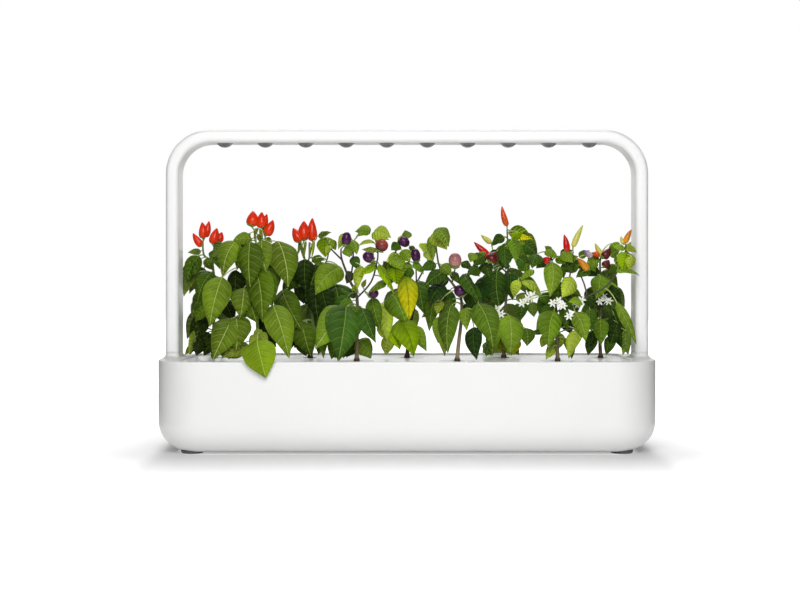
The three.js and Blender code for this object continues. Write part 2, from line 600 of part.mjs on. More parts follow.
function socketBody(side) {
  const sleeve_x = tenon_half_x + fit_gap + socket_wall;
  const sleeve_y = tenon_half_y + fit_gap + socket_wall;
  const sleeve = [
    roundedRing(sleeve_x, sleeve_y, tenon_corner_radius, socket_bottom - socket_wall, section_steps),
    roundedRing(sleeve_x, sleeve_y, tenon_corner_radius, deck_underside + root_overlap, section_steps),
  ];
  const neck = [];
  const neck_foot = tank_rim_height - deck_thickness / 2;
  neck.push(roundedRing(
    half_leg + neck_flare, half_leg_depth + neck_flare, leg_corner_radius + neck_flare, neck_foot, section_steps,
  ));
  for (let k = 0; k <= neck_flare_steps; k += 1) {
    const angle = (k / neck_flare_steps) * Math.PI / 2;
    const spread = neck_flare * (1 - Math.sin(angle));
    const height = tank_rim_height + neck_flare * (1 - Math.cos(angle));
    neck.push(roundedRing(
      half_leg + spread, half_leg_depth + spread, leg_corner_radius + spread, height, section_steps,
    ));
  }
  neck.push(roundedRing(half_leg, half_leg_depth, leg_corner_radius, seam_height, section_steps));
  const outline = loft([
    tankRing(tank_rim_edge / 2, deck_underside),
    tankRing(tank_rim_edge / 2, seam_height + cut_margin),
  ]);
  const trimmed = loft(moved(neck, side * leg_centre_x)).intersect(outline);
  return loft(moved(sleeve, side * leg_centre_x)).add(trimmed);
}

function socketBore(side) {
  const rings = [
    roundedRing(tenon_half_x + fit_gap, tenon_half_y + fit_gap, tenon_corner_radius, socket_bottom, section_steps),
    roundedRing(
      tenon_half_x + fit_gap, tenon_half_y + fit_gap, tenon_corner_radius,
      seam_height + cut_margin, section_steps,
    ),
  ];
  return loft(moved(rings, side * leg_centre_x));
}

const foot_x = half_length - foot_from_end;
const foot_y = half_depth - foot_from_side;
const foot_sites = [[-1, -1], [1, -1], [-1, 1], [1, 1]];
let tank = tank_outside.subtract(tank_inside);
tank = tank.add(ledge_outside.subtract(ledge_hole)).subtract(tray_well);
for (const side of [-1, 1]) {
  tank = tank.add(socketBody(side)).subtract(socketBore(side));
}
const pocket_top = foot_height + fit_gap;
for (const [sx, sy] of foot_sites) {
  const pocket = turned(
    [[0, -cut_margin], [foot_radius + fit_gap, -cut_margin], [foot_radius + fit_gap, pocket_top], [0, pocket_top]],
    foot_segments, sx * foot_x, sy * foot_y,
  );
  tank = tank.subtract(pocket);
}
addNode(tank, "tank", white_plastic);

foot_sites.forEach(([sx, sy], i) => {
  const foot = turned(
    [[0, 0], [foot_radius - foot_edge, 0], [foot_radius, foot_edge], [foot_radius, foot_height], [0, foot_height]],
    foot_segments, sx * foot_x, sy * foot_y,
  );
  addNode(foot, `foot_${i + 1}`, grey_rubber);
});

// Pod places: a zigzag of two rows, five pods behind and four in front
const pod_sites = [];
for (let i = 0; i < pod_count; i += 1) {
  const row = i % 2 === 0 ? 1 : -1;
  pod_sites.push([(i - middle_pod) * pod_pitch, row * pod_row_offset]);
}

// Tray
const counterbore_floor = tray_top_height - pod_counterbore_depth;
const float_x = float_from_tray_end - well_half_x;
const float_y = -pod_row_offset;
const float_hole_radius = float_radius + float_hole_clearance;
let tray = roundedPrism(
  well_half_x - fit_gap, well_half_y - fit_gap, tray_well_radius - fit_gap,
  tray_bottom_height, tray_top_height, corner_steps,
);
for (const [x, y] of pod_sites) {
  const seat_radius = cup_flange_radius + fit_gap;
  const hole_radius = cup_mouth_radius + fit_gap;
  tray = tray.subtract(turned([
    [0, tray_bottom_height - cut_margin],
    [hole_radius, tray_bottom_height - cut_margin],
    [hole_radius, counterbore_floor],
    [seat_radius, counterbore_floor],
    [seat_radius, tray_top_height + cut_margin],
    [0, tray_top_height + cut_margin],
  ], pod_segments, x, y));
}
tray = tray.subtract(turned([
  [0, tray_bottom_height - cut_margin],
  [float_hole_radius, tray_bottom_height - cut_margin],
  [float_hole_radius, tray_top_height + cut_margin],
  [0, tray_top_height + cut_margin],
], float_segments, float_x, float_y));
addNode(tray, "tray", white_plastic);

// Pod cup, soil and lid
const flange_bottom = tray_top_height - cup_flange_thickness;
const lid_bottom = tray_top_height - lid_thickness;
const lid_seat = lid_bottom - fit_gap;
const cup_inside_floor = cup_bottom_height + cup_floor;
const soil_bottom = cup_inside_floor + fit_gap;

// The radius of a cup's inside wall at a height, less the soil's clearance
function soilRadius(height) {
  const rise_share = (height - cup_inside_floor) / (lid_seat - cup_inside_floor);
  return cup_toe_radius + cup_taper * rise_share - cup_wall - soil_clearance;
}

pod_sites.forEach(([x, y], i) => {
  const cup = turned([
    [cup_drain_radius, cup_bottom_height],
    [cup_toe_radius, cup_bottom_height],
    [cup_mouth_radius, flange_bottom],
    [cup_flange_radius, flange_bottom],
    [cup_flange_radius, tray_top_height],
    [lid_radius + fit_gap, tray_top_height],
    [lid_radius + fit_gap, lid_seat],
    [cup_mouth_radius - cup_wall, lid_seat],
    [cup_toe_radius - cup_wall, cup_inside_floor],
    [cup_drain_radius, cup_inside_floor],
  ], pod_segments, x, y);
  const soil = turned([
    [0, soil_bottom],
    [soilRadius(soil_bottom), soil_bottom],
    [soilRadius(soil_top_height), soil_top_height],
    [root_bore_radius, soil_top_height],
    [root_bore_radius, root_bottom_height],
    [0, root_bottom_height],
  ], soil_segments, x, y);
  const lid = turned([
    [lid_opening_radius, lid_bottom],
    [lid_radius, lid_bottom],
    [lid_radius, tray_top_height],
    [lid_opening_radius, tray_top_height],
  ], pod_segments, x, y);
  addNode(cup, `pod_cup_${i + 1}`, white_plastic);
  addNode(soil, `soil_${i + 1}`, dark_soil);
  addNode(lid, `pod_lid_${i + 1}`, white_plastic);
});

// Float
const head_bottom = tray_top_height + fit_gap;
const head_top = head_bottom + float_head_height;
const float_bottom_height = head_bottom - float_length;
addNode(turned([
  [0, float_bottom_height],
  [float_radius - float_nose, float_bottom_height],
  [float_radius, float_bottom_height + float_nose],
  [float_radius, head_bottom],
  [float_head_radius, head_bottom],
  [float_head_radius, head_top - float_head_edge],
  [float_head_radius - float_head_edge, head_top],
  [0, head_top],
], float_segments, float_x, float_y), "float", white_plastic);

// Lamp arch: a hollow tube bent into a bridge
const bend_radius = arch_outer_radius - half_leg;
const bar_middle_height = arch_height - half_leg;
const bend_centre_x = leg_centre_x - bend_radius;
const bend_centre_z = bar_middle_height - bend_radius;

function archRing(x, z, out_x, out_z, half_wide, half_deep, radius) {
  return roundedRing(half_wide, half_deep, radius, 0, section_steps).map(
    (p) => new THREE.Vector3(x + p.x * out_x, p.y, z + p.x * out_z),
  );
}

function archTube(bottom, half_wide, half_deep, radius) {
  const rings = [archRing(-leg_centre_x, bottom, -1, 0, half_wide, half_deep, radius)];
  for (const side of [-1, 1]) {
    for (let k = 0; k <= arch_steps; k += 1) {
      const turn = side < 0 ? k / arch_steps : 1 - k / arch_steps;
      const out_x = side * Math.cos(turn * Math.PI / 2);
      const out_z = Math.sin(turn * Math.PI / 2);
      rings.push(archRing(
        side * bend_centre_x + bend_radius * out_x, bend_centre_z + bend_radius * out_z,
        out_x, out_z, half_wide, half_deep, radius,
      ));
    }
  }
  rings.push(archRing(leg_centre_x, bottom, 1, 0, half_wide, half_deep, radius));
  return loft(rings);
}

const leg_hollow_x = half_leg - leg_wall;
const leg_hollow_y = half_leg_depth - leg_wall;
const arch_bottom = seam_height + fit_gap;
const hollow_bottom = arch_bottom + tenon_shoulder;
const slot_half_x = bend_centre_x - lamp_slot_from_bend;
const slot_half_y = half_leg_depth - lamp_slot_inset;
const bar_underside = arch_height - leg_width;
let arch = archTube(arch_bottom, half_leg, half_leg_depth, leg_corner_radius);
arch = arch.subtract(archTube(hollow_bottom, leg_hollow_x, leg_hollow_y, leg_corner_radius - leg_wall));
for (const side of [-1, 1]) {
  const tenon = [tenon_bottom, arch_bottom + root_overlap].map(
    (z) => roundedRing(tenon_half_x, tenon_half_y, tenon_corner_radius, z, section_steps),
  );
  const bore = [tenon_bottom - cut_margin, hollow_bottom + root_overlap].map((z) => roundedRing(
    tenon_half_x - tenon_wall, tenon_half_y - tenon_wall, tenon_corner_radius - tenon_wall / 2, z, section_steps,
  ));
  arch = arch.add(loft(moved(tenon, side * leg_centre_x)));
  arch = arch.subtract(loft(moved(bore, side * leg_centre_x)));
}
arch = arch.subtract(block(
  -slot_half_x, slot_half_x, -slot_half_y, slot_half_y, bar_underside - cut_margin, bar_middle_height,
));

// A turned piece laid along Y, for the holes and parts in the back of the leg
function turnedAlongY(outline, segments, x, z) {
  return turned(outline, segments, 0, 0).rotate([90, 0, 0]).translate([x, 0, z]);
}

const board_x = leg_centre_x - driver_board_offset;
const driver_board_bottom = seam_height + driver_board_above_seam;
const inlet_height = seam_height + inlet_above_seam;
const button_height = seam_height + button_above_seam;
const inlet_left = board_x + board_thickness / 2 + fit_gap;
const inlet_x = inlet_left + inlet_width / 2;
const inlet_back = half_leg_depth - inlet_recess;
arch = arch.subtract(block(
  inlet_left - fit_gap, inlet_left + inlet_width + fit_gap,
  0, half_leg_depth + cut_margin,
  inlet_height - inlet_width / 2 - fit_gap, inlet_height + inlet_width / 2 + fit_gap,
));
arch = arch.subtract(turnedAlongY([
  [0, -half_leg_depth - cut_margin], [button_radius + fit_gap, -half_leg_depth - cut_margin],
  [button_radius + fit_gap, 0], [0, 0],
], small_segments, inlet_x, button_height));
arch = arch.subtract(turnedAlongY([
  [0, -leg_hollow_y], [button_flange_radius + fit_gap, -leg_hollow_y],
  [button_flange_radius + fit_gap, 0], [0, 0],
], small_segments, inlet_x, button_height));
addNode(arch, "lamp_arch", arch_white);

// Lamp cover, lens strip and lamp board
const cover_bottom = bar_underside + fit_gap;
const cover_top = cover_bottom + cover_thickness;
const cover_half_x = slot_half_x - fit_gap;
const cover_half_y = slot_half_y - fit_gap;
const lens_pitch = (slot_half_x - lens_from_slot_end) * 2 / (lens_count - 1);
const lens_sites = [];
for (let i = 0; i < lens_count; i += 1) {
  lens_sites.push((i - (lens_count - 1) / 2) * lens_pitch);
}
let cover = block(-cover_half_x, cover_half_x, -cover_half_y, cover_half_y, cover_bottom, cover_top);
for (const side of [-1, 1]) {
  const outer = side * cover_half_y;
  const inner = side * (cover_half_y - cover_cheek);
  cover = cover.add(block(
    -cover_half_x, cover_half_x, Math.min(outer, inner), Math.max(outer, inner),
    cover_top - root_overlap, cover_top + cover_cheek_height,
  ));
}
for (const x of lens_sites) {
  cover = cover.subtract(turned([
    [0, cover_bottom - cut_margin], [lens_radius + fit_gap, cover_bottom - cut_margin],
    [lens_radius + fit_gap, cover_top + root_overlap], [0, cover_top + root_overlap],
  ], lens_segments, x, 0));
}
addNode(cover, "lamp_cover", arch_white);

const strip_bottom = cover_top + fit_gap;
const strip_top = strip_bottom + lens_plate_thickness;
const strip_half_x = cover_half_x - fit_gap;
const strip_half_y = cover_half_y - cover_cheek - fit_gap;
const lens_sphere_radius = (lens_radius ** 2 + lens_hang ** 2) / (2 * lens_hang);
const lens_half_angle = Math.asin(lens_radius / lens_sphere_radius);
const lens_outline = [[0, bar_underside - lens_hang]];
for (let k = 1; k <= lens_steps; k += 1) {
  const angle = lens_half_angle * (k / lens_steps);
  const drop = lens_sphere_radius * (1 - Math.cos(angle));
  lens_outline.push([lens_sphere_radius * Math.sin(angle), bar_underside - lens_hang + drop]);
}
lens_outline.push([lens_radius, strip_bottom + root_overlap]);
lens_outline.push([0, strip_bottom + root_overlap]);
let strip = block(-strip_half_x, strip_half_x, -strip_half_y, strip_half_y, strip_bottom, strip_top);
for (const x of lens_sites) {
  strip = strip.add(turned(lens_outline, lens_segments, x, 0));
}
addNode(strip, "lens_strip", smoke_plastic);

const chip_bottom = strip_top + fit_gap;
const board_bottom = chip_bottom + led_chip_height;
let lamp_board = block(
  -strip_half_x, strip_half_x, -strip_half_y, strip_half_y, board_bottom, board_bottom + led_board_thickness,
);
for (const x of lens_sites) {
  lamp_board = lamp_board.add(block(
    x - led_chip_size / 2, x + led_chip_size / 2, -led_chip_size / 2, led_chip_size / 2,
    chip_bottom, board_bottom + root_overlap,
  ));
}
addNode(lamp_board, "led_board", board_white);

// Driver board with its switch, power inlet and power button
const switch_left = board_x + board_thickness / 2 - root_overlap;
const button_back = half_leg_depth + button_stand_out;
const button_front = button_back - button_length;
const switch_back = button_front - button_travel - fit_gap;
const driver_board = block(
  board_x - board_thickness / 2, board_x + board_thickness / 2,
  -driver_board_depth / 2, driver_board_depth / 2,
  driver_board_bottom, driver_board_bottom + driver_board_length,
).add(block(
  switch_left, switch_left + switch_size, switch_back - switch_depth, switch_back,
  button_height - switch_size / 2, button_height + switch_size / 2,
));
addNode(driver_board, "driver_board", board_green);

let inlet = block(
  inlet_left, inlet_left + inlet_width, inlet_back - inlet_length, inlet_back,
  inlet_height - inlet_width / 2, inlet_height + inlet_width / 2,
);
inlet = inlet.subtract(turnedAlongY([
  [0, -inlet_back - cut_margin], [inlet_bore_radius, -inlet_back - cut_margin],
  [inlet_bore_radius, -inlet_back + inlet_bore_depth], [0, -inlet_back + inlet_bore_depth],
], small_segments, inlet_x, inlet_height));
inlet = inlet.add(turnedAlongY([
  [0, -inlet_back + root_overlap], [inlet_pin_radius, -inlet_back + root_overlap],
  [inlet_pin_radius, -inlet_back + inlet_bore_depth + root_overlap],
  [0, -inlet_back + inlet_bore_depth + root_overlap],
], small_segments, inlet_x, inlet_height));
addNode(inlet, "power_inlet", dark_plastic);

const flange_back = leg_hollow_y - fit_gap;
addNode(turnedAlongY([
  [0, -button_back],
  [button_radius, -button_back],
  [button_radius, -flange_back],
  [button_flange_radius, -flange_back],
  [button_flange_radius, -flange_back + button_flange_thickness],
  [button_radius, -flange_back + button_flange_thickness],
  [button_radius, -button_front],
  [0, -button_front],
], small_segments, inlet_x, button_height), "power_button", white_plastic);

// Plants
const viewer_eye_height = tank_rim_height + eye_above_rim;
const lamp_shadow_height = tank_rim_height + lamp_shadow_above_rim;
const reach_x = half_length - plant_from_end;
const reach_y = half_depth + plant_overhang;
const beyond_rim_y = half_depth + plant_beyond_rim;
const lamp_shadow_y = half_leg_depth + lamp_clearance;
const leg_shadow_x = leg_centre_x - half_leg - leg_clearance_x;
const leg_shadow_y = half_leg_depth + leg_clearance_y;

function stepAt(depth) {
  return picture_unit_width * (viewer_distance + depth) / viewer_distance;
}

// The place of a picture point of plant i, given as [across, down, depth share]
function seenAt(i, across_px, down_px, depth_share) {
  const [pod_x, pod_y] = pod_sites[i];
  const depth = depth_share * pod_row_offset;
  const from_middle_px = pod_x / stepAt(pod_y) + across_px - pod_columns_px[i];
  return new THREE.Vector3(
    from_middle_px * stepAt(depth), depth, viewer_eye_height - (down_px - picture_horizon_px[0]) * stepAt(depth),
  );
}

function cellOf(i) {
  const [x, y] = pod_sites[i];
  const front = y < 0;
  const low = i < 2 ? -reach_x : x - pod_pitch;
  const high = i > pod_count - 3 ? reach_x : x + pod_pitch;
  return { low: low + plant_side_gap, high: high - plant_side_gap, front };
}

function keptInside(point, cell) {
  const p = point.clone();
  p.x = Math.min(Math.max(p.x, cell.low), cell.high);
  const toward = cell.front ? -1 : 1;
  let away = p.y * toward;
  away = Math.min(Math.max(away, plant_middle_gap), reach_y);
  if (p.z > lamp_shadow_height) {
    away = Math.max(away, lamp_shadow_y);
  }
  if (Math.abs(p.x) > leg_shadow_x) {
    away = Math.max(away, leg_shadow_y);
  }
  if (away < beyond_rim_y) {
    p.z = Math.max(p.z, tray_top_height + plant_above_tray);
  }
  p.y = away * toward;
  return p;
}

function crossSection(centre, along, wide, deep, facing) {
  const side = new THREE.Vector3().crossVectors(along, facing).normalize();
  const face = new THREE.Vector3().crossVectors(side, along).normalize();
  return [
    centre.clone().addScaledVector(side, wide),
    centre.clone().addScaledVector(face, deep),
    centre.clone().addScaledVector(side, -wide),
  ];
}

function roundSection(centre, along, radius, sides) {
  const helper = Math.abs(along.y) < Math.SQRT1_2 ? new THREE.Vector3(0, 1, 0) : new THREE.Vector3(1, 0, 0);
  const u = new THREE.Vector3().crossVectors(along, helper).normalize();
  const v = new THREE.Vector3().crossVectors(along, u).normalize();
  const ring = [];
  for (let k = 0; k < sides; k += 1) {
    const angle = (k / sides) * Math.PI * 2;
    ring.push(centre.clone().addScaledVector(u, radius * Math.cos(angle)).addScaledVector(v, radius * Math.sin(angle)));
  }
  return ring;
}

function nearestOn(runs, target) {
  let best = null;
  for (const run of runs) {
    for (let k = 0; k + 1 < run.length; k += 1) {
      const line = new THREE.Line3(run[k], run[k + 1]);
      const point = line.closestPointToPoint(target, true, new THREE.Vector3());
      const far = point.distanceTo(target);
      if (best === null || far < best.far) {
        best = { far, point: point.lerp(run[k], root_inset_share) };
      }
    }
  }
  return best.point;
}

function leafSolid(i, row, runs, cell) {
  const [bx, by, tx, ty, wide_px, base_share, tip_share] = row;
  const base = keptInside(seenAt(i, bx, by, base_share), cell);
  const tip = keptInside(seenAt(i, tx, ty, tip_share), cell);
  const root = nearestOn(runs, base);
  const half_wide = wide_px / 2 * stepAt(base.y);
  const along = tip.clone().sub(base);
  const length = along.length();
  along.normalize();
  const facing = new THREE.Vector3(0, cell.front || tip.y < root.y ? -1 : 1, leaf_face_tilt_share).normalize();
  const side = new THREE.Vector3().crossVectors(along, facing).normalize();
  const face = new THREE.Vector3().crossVectors(side, along).normalize();
  const middle = base.clone().lerp(tip, leaf_wide_share).addScaledVector(face, length * leaf_arch_share);
  const wide = crossSection(middle, along, half_wide, leaf_half_thickness, facing).map((p) => keptInside(p, cell));
  const petiole = base.clone().sub(root);
  const reach = petiole.length() > petiole_radius ? petiole.normalize() : along;
  const first = roundSection(root, reach, petiole_radius, petiole_sides);
  const second = roundSection(base, along, petiole_radius, petiole_sides);
  return wrapped([...first, ...second]).add(wrapped([...second, ...wide, tip]));
}

function fruitSolid(i, row, runs, cell) {
  const [bx, by, tx, ty, wide_px, share] = row;
  const base = keptInside(seenAt(i, bx, by, share), cell);
  const tip = keptInside(seenAt(i, tx, ty, share), cell);
  const root = nearestOn(runs, base);
  const radius = wide_px / 2 * stepAt(base.y);
  const along = tip.clone().sub(base).normalize();
  const shoulder = base.clone().lerp(tip, fruit_shoulder_share);
  const inside = base.clone().lerp(tip, fruit_shoulder_share / 2);
  const body = wrapped([
    ...roundSection(base, along, radius * fruit_base_share, fruit_sides),
    ...roundSection(shoulder, along, radius, fruit_sides),
    tip,
  ]);
  const hang = inside.clone().sub(root).normalize();
  const stalk = wrapped([
    ...roundSection(root, hang, petiole_radius, stem_sides),
    ...roundSection(inside, hang, petiole_radius, stem_sides),
  ]);
  return body.add(stalk);
}

pod_sites.forEach(([x, y], i) => {
  const cell = cellOf(i);
  const root = new THREE.Vector3(x, y, root_bottom_height + fit_gap);
  const collar = new THREE.Vector3(x, y, tray_top_height + plant_above_tray);
  const runs = twigs_px[i].map((run) => run.map(
    ([across, down, share]) => keptInside(seenAt(i, across, down, share), cell),
  ));
  runs[0].unshift(collar);
  runs[0].unshift(root);
  for (let r = 1; r < runs.length; r += 1) {
    runs[r][0] = nearestOn(runs.slice(0, r), runs[r][0]);
  }
  const pieces = [];
  runs.forEach((run, r) => {
    const rings = run.map((point, k) => {
      const before = run[Math.max(0, k - 1)];
      const after = run[Math.min(run.length - 1, k + 1)];
      const along = after.clone().sub(before).normalize();
      const thick = r === 0 ? stem_radius : (stem_radius + twig_radius) / 2;
      const radius = thick + (twig_radius - thick) * k / (run.length - 1);
      return roundSection(point, along, radius, stem_sides);
    });
    pieces.push(loft(rings));
  });
  for (const row of leaves_px[i].filter((leaf) => leaf[4] * picture_unit_width >= smallest_leaf_width)) {
    pieces.push(leafSolid(i, row, runs, cell));
  }
  for (const row of fruits_px[i]) {
    pieces.push(fruitSolid(i, row, runs, cell));
  }
  const grown = joined(pieces).simplify(plant_merge_length);
  const bodies = grown.decompose().sort((a, b) => b.volume() - a.volume());
  addNode(bodies[0], `plant_${i + 1}`, leaf_green);
});

export default group;
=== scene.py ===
import math
import random

import bmesh
import bpy
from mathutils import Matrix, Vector


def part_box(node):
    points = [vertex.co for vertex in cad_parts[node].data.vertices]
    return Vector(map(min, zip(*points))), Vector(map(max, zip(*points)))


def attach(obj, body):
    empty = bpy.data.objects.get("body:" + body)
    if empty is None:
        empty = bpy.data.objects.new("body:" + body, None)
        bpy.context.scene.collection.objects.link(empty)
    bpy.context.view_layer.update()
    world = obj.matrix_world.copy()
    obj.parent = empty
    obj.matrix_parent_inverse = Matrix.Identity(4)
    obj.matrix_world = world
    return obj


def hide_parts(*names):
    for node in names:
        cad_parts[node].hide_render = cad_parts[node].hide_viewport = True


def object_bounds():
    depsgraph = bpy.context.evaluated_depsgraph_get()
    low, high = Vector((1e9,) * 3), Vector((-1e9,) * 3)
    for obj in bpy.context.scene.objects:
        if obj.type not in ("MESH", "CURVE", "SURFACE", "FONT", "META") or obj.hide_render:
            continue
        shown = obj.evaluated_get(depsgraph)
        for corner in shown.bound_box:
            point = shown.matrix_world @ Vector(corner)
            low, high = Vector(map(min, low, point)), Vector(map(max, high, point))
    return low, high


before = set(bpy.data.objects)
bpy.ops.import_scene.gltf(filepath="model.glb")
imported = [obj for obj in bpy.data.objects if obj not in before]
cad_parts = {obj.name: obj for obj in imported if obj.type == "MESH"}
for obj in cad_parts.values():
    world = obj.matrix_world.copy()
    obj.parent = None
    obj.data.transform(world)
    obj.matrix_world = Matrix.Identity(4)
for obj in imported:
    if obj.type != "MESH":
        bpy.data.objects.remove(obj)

cad_low, cad_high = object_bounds()
rng = random.Random(7)
mm = 0.001

# Sizes that follow the frame
tank_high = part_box("tank")[1]
half_length = tank_high.x
half_depth = 92.5 * mm
tank_rim_height = 113.5 * mm
tank_corner_radius = 55 * mm
tank_belly_radius = 37 * mm
tank_rim_edge = 1.2 * mm
tank_wall = 3 * mm
tank_floor_height = 7 * mm
foot_standoff = 2 * mm
tray_well_length = 552 * mm
tray_well_depth = 179 * mm
tray_well_radius = 26 * mm
ledge_width = 4 * mm
ledge_thickness = 1.8 * mm
fit_gap = 0.3 * mm
root_overlap = 0.5 * mm
cut_margin = 5 * mm
corner_steps = 16
belly_steps = 14
rim_steps = 4

# Feet
foot_radius = 14 * mm
foot_edge = 1.4 * mm
foot_height = 4.2 * mm
foot_from_middle_x = 262 * mm
foot_from_middle_y = 50 * mm

# Tray
tray_top_height = 111 * mm
tray_thickness = 3.4 * mm
pod_counterbore_depth = 2.2 * mm
vent_radius = 1.1 * mm
vent_from_pod = 35 * mm
vent_depth = 1.5 * mm

# Pods
pod_pitch = 62 * mm
pod_row_offset = 32 * mm
pod_count = 9
middle_pod = 4
cup_flange_radius = 26 * mm
cup_flange_thickness = 1.9 * mm
cup_mouth_radius = 21.8 * mm
cup_toe_radius = 16.5 * mm
cup_wall = 1.5 * mm
cup_bottom_height = 62 * mm
cup_floor = 2 * mm
cup_drain_radius = 5 * mm
lid_radius = 22.1 * mm
lid_thickness = 1.1 * mm
lid_opening_radius = 9 * mm
soil_top_height = 104 * mm
soil_top_radius = 18.8 * mm
soil_toe_radius = 14.1 * mm
soil_roughness = 0.8 * mm
soil_rings = 9
root_bottom_height = 92 * mm

# Rounding of the meshes
round_segments = 48
sharp_edge_degrees = 30
soil_crease_degrees = 60

# Float
float_x = -250 * mm
float_y = -32 * mm
float_hole_radius = 7 * mm
float_radius = 6.5 * mm
float_bottom_height = 50 * mm
float_nose = 2.5 * mm
float_head_radius = 8.5 * mm
float_head_height = 5.7 * mm
float_head_edge = 1.5 * mm

# Lamp arch
arch_height = cad_high.z
leg_centre_x = 292.5 * mm
leg_width = 16 * mm
leg_depth = 44 * mm
leg_corner_radius = 6 * mm
leg_wall = 2.5 * mm
arch_outer_radius = 55 * mm
bend_steps = 28
section_steps = 8
seam_height = 121 * mm
tenon_width = 10 * mm
tenon_depth = 38 * mm
tenon_length = 32 * mm
tenon_wall = 2.5 * mm
tenon_corner_radius = 3 * mm
tenon_shoulder = 3 * mm
socket_wall = 3.2 * mm
socket_floor_gap = 1 * mm
neck_flare = 6 * mm
neck_flare_steps = 8

# Lamp
lamp_slot_length = 489 * mm
lamp_slot_depth = 34 * mm
cover_thickness = 2 * mm
cover_cheek = 1.5 * mm
cover_cheek_height = 9 * mm
lens_count = 10
lens_pitch = 50.9 * mm
lens_radius = 9.85 * mm
lens_hang = 5 * mm
lens_rings = 10
lens_plate_thickness = 1.6 * mm

# Inlet and button in the back of the right leg
driver_board_offset = 4.2 * mm
board_thickness = 1.6 * mm
inlet_height = 150 * mm
inlet_width = 8.2 * mm
button_height = 182 * mm
button_radius = 3.4 * mm
button_stand_out = 1.2 * mm
button_flange_radius = 4.4 * mm
button_flange_thickness = 1.2 * mm
button_length = 8.5 * mm

# The viewer whose picture places the leaves
viewer_distance = 1.75
viewer_eye_height = 222.7 * mm
picture_focus_px = 1390.9
picture_middle_px = 407
picture_horizon_px = 270.4
picture_width_px = 800
picture_height_px = 600
sensor_width_mm = 36

# Limits that keep the plants apart and clear of the lamp and its legs
plant_side_gap = 1 * mm
plant_middle_gap = 1.2 * mm
plant_overhang = 102 * mm
plant_above_tray = 1.5 * mm
plant_beyond_rim = 96 * mm
lamp_shadow_half = 26 * mm
lamp_shadow_height = 238 * mm
leg_keepout_x = 277.5 * mm
leg_keepout_y = 31 * mm
plant_reach_x = 301 * mm
keepout_ease = 20 * mm

# Plant sections
stem_radius = 2.9 * mm
stem_foot_height = 4 * mm
stem_foot_spread = 2 * mm
twig_radius = 0.9 * mm
side_twig_gain = 1.25
stem_sides = 10
growth_crease_degrees = 70
stem_steps_per_point = 6
petiole_radius = 0.75 * mm
petiole_sides = 7
petiole_steps = 8
petiole_rise_share = 0.3
leaf_thickness = 0.45 * mm
leaf_layer_depth = 8 * mm
leaf_layer_lift = 1.5 * mm
leaf_fit_rounds = 3
# How much lighter one half of each leaf is painted and how much darker the other: painted light and shade
leaf_half_shade_contrast = 0.23
leaf_vein_pairs = 6.0
leaf_vein_slant = -0.9
leaf_vein_curve = -0.5
leaf_columns = [-1, -0.82, -0.6, -0.36, -0.14, 0, 0.14, 0.36, 0.6, 0.82, 1]
leaf_outline_shares = [
    [0, 0.06], [0.03, 0.34], [0.08, 0.62], [0.15, 0.84], [0.24, 0.97], [0.34, 1], [0.45, 0.96], [0.56, 0.86],
    [0.66, 0.71], [0.76, 0.53], [0.85, 0.34], [0.92, 0.18], [0.97, 0.08], [1, 0.012],
]
leaf_arch_share = 0.13
leaf_tip_curl_share = 0.08
leaf_facing_tilt_share = 0.55
leaf_fold_share = 0.26
leaf_quilt_share = 0.13
leaf_wave_share = 0.08
leaf_yaw_spread = math.radians(20)
leaf_twist_spread = math.radians(24)
leaf_bow_share = 0.07
leaf_width_gain = 1.2
leaf_wave_pace_range = (9, 15)
leaf_arch_range = (0.6, 1.5)
leaf_fold_range = (0.3, 1.6)
leaf_bright_range = (0.72, 1.31)
# How sharply the painted light and shade change across the midrib, and how much lighter both ends of a leaf
# are painted
leaf_half_step = 4
leaf_end_light_gain = 0.15
leaf_stalk_inset = 0.03
stalk_bend_share = 0.45
leaf_stalk_gains = (1.2, 0.85)
fruit_width_gain = 1.28
fruit_sides = 18
fruit_bow_share = 0.05
fruit_stalk_gain = 1.2
fruit_stalk_rise_share = 0.08
oval_fruit_least_width = 0.03
oval_fruit_power = 0.85
fruit_outline_shares = [
    [0, 0.3], [0.03, 0.62], [0.08, 0.82], [0.16, 0.95], [0.27, 1], [0.4, 0.97], [0.53, 0.88],
    [0.66, 0.74], [0.78, 0.55], [0.87, 0.38], [0.94, 0.24], [0.98, 0.13], [1, 0.02],
]
calyx_share = 0.16
calyx_root_share = 0.2
calyx_wide_share = 0.62
calyx_flare_share = 0.22

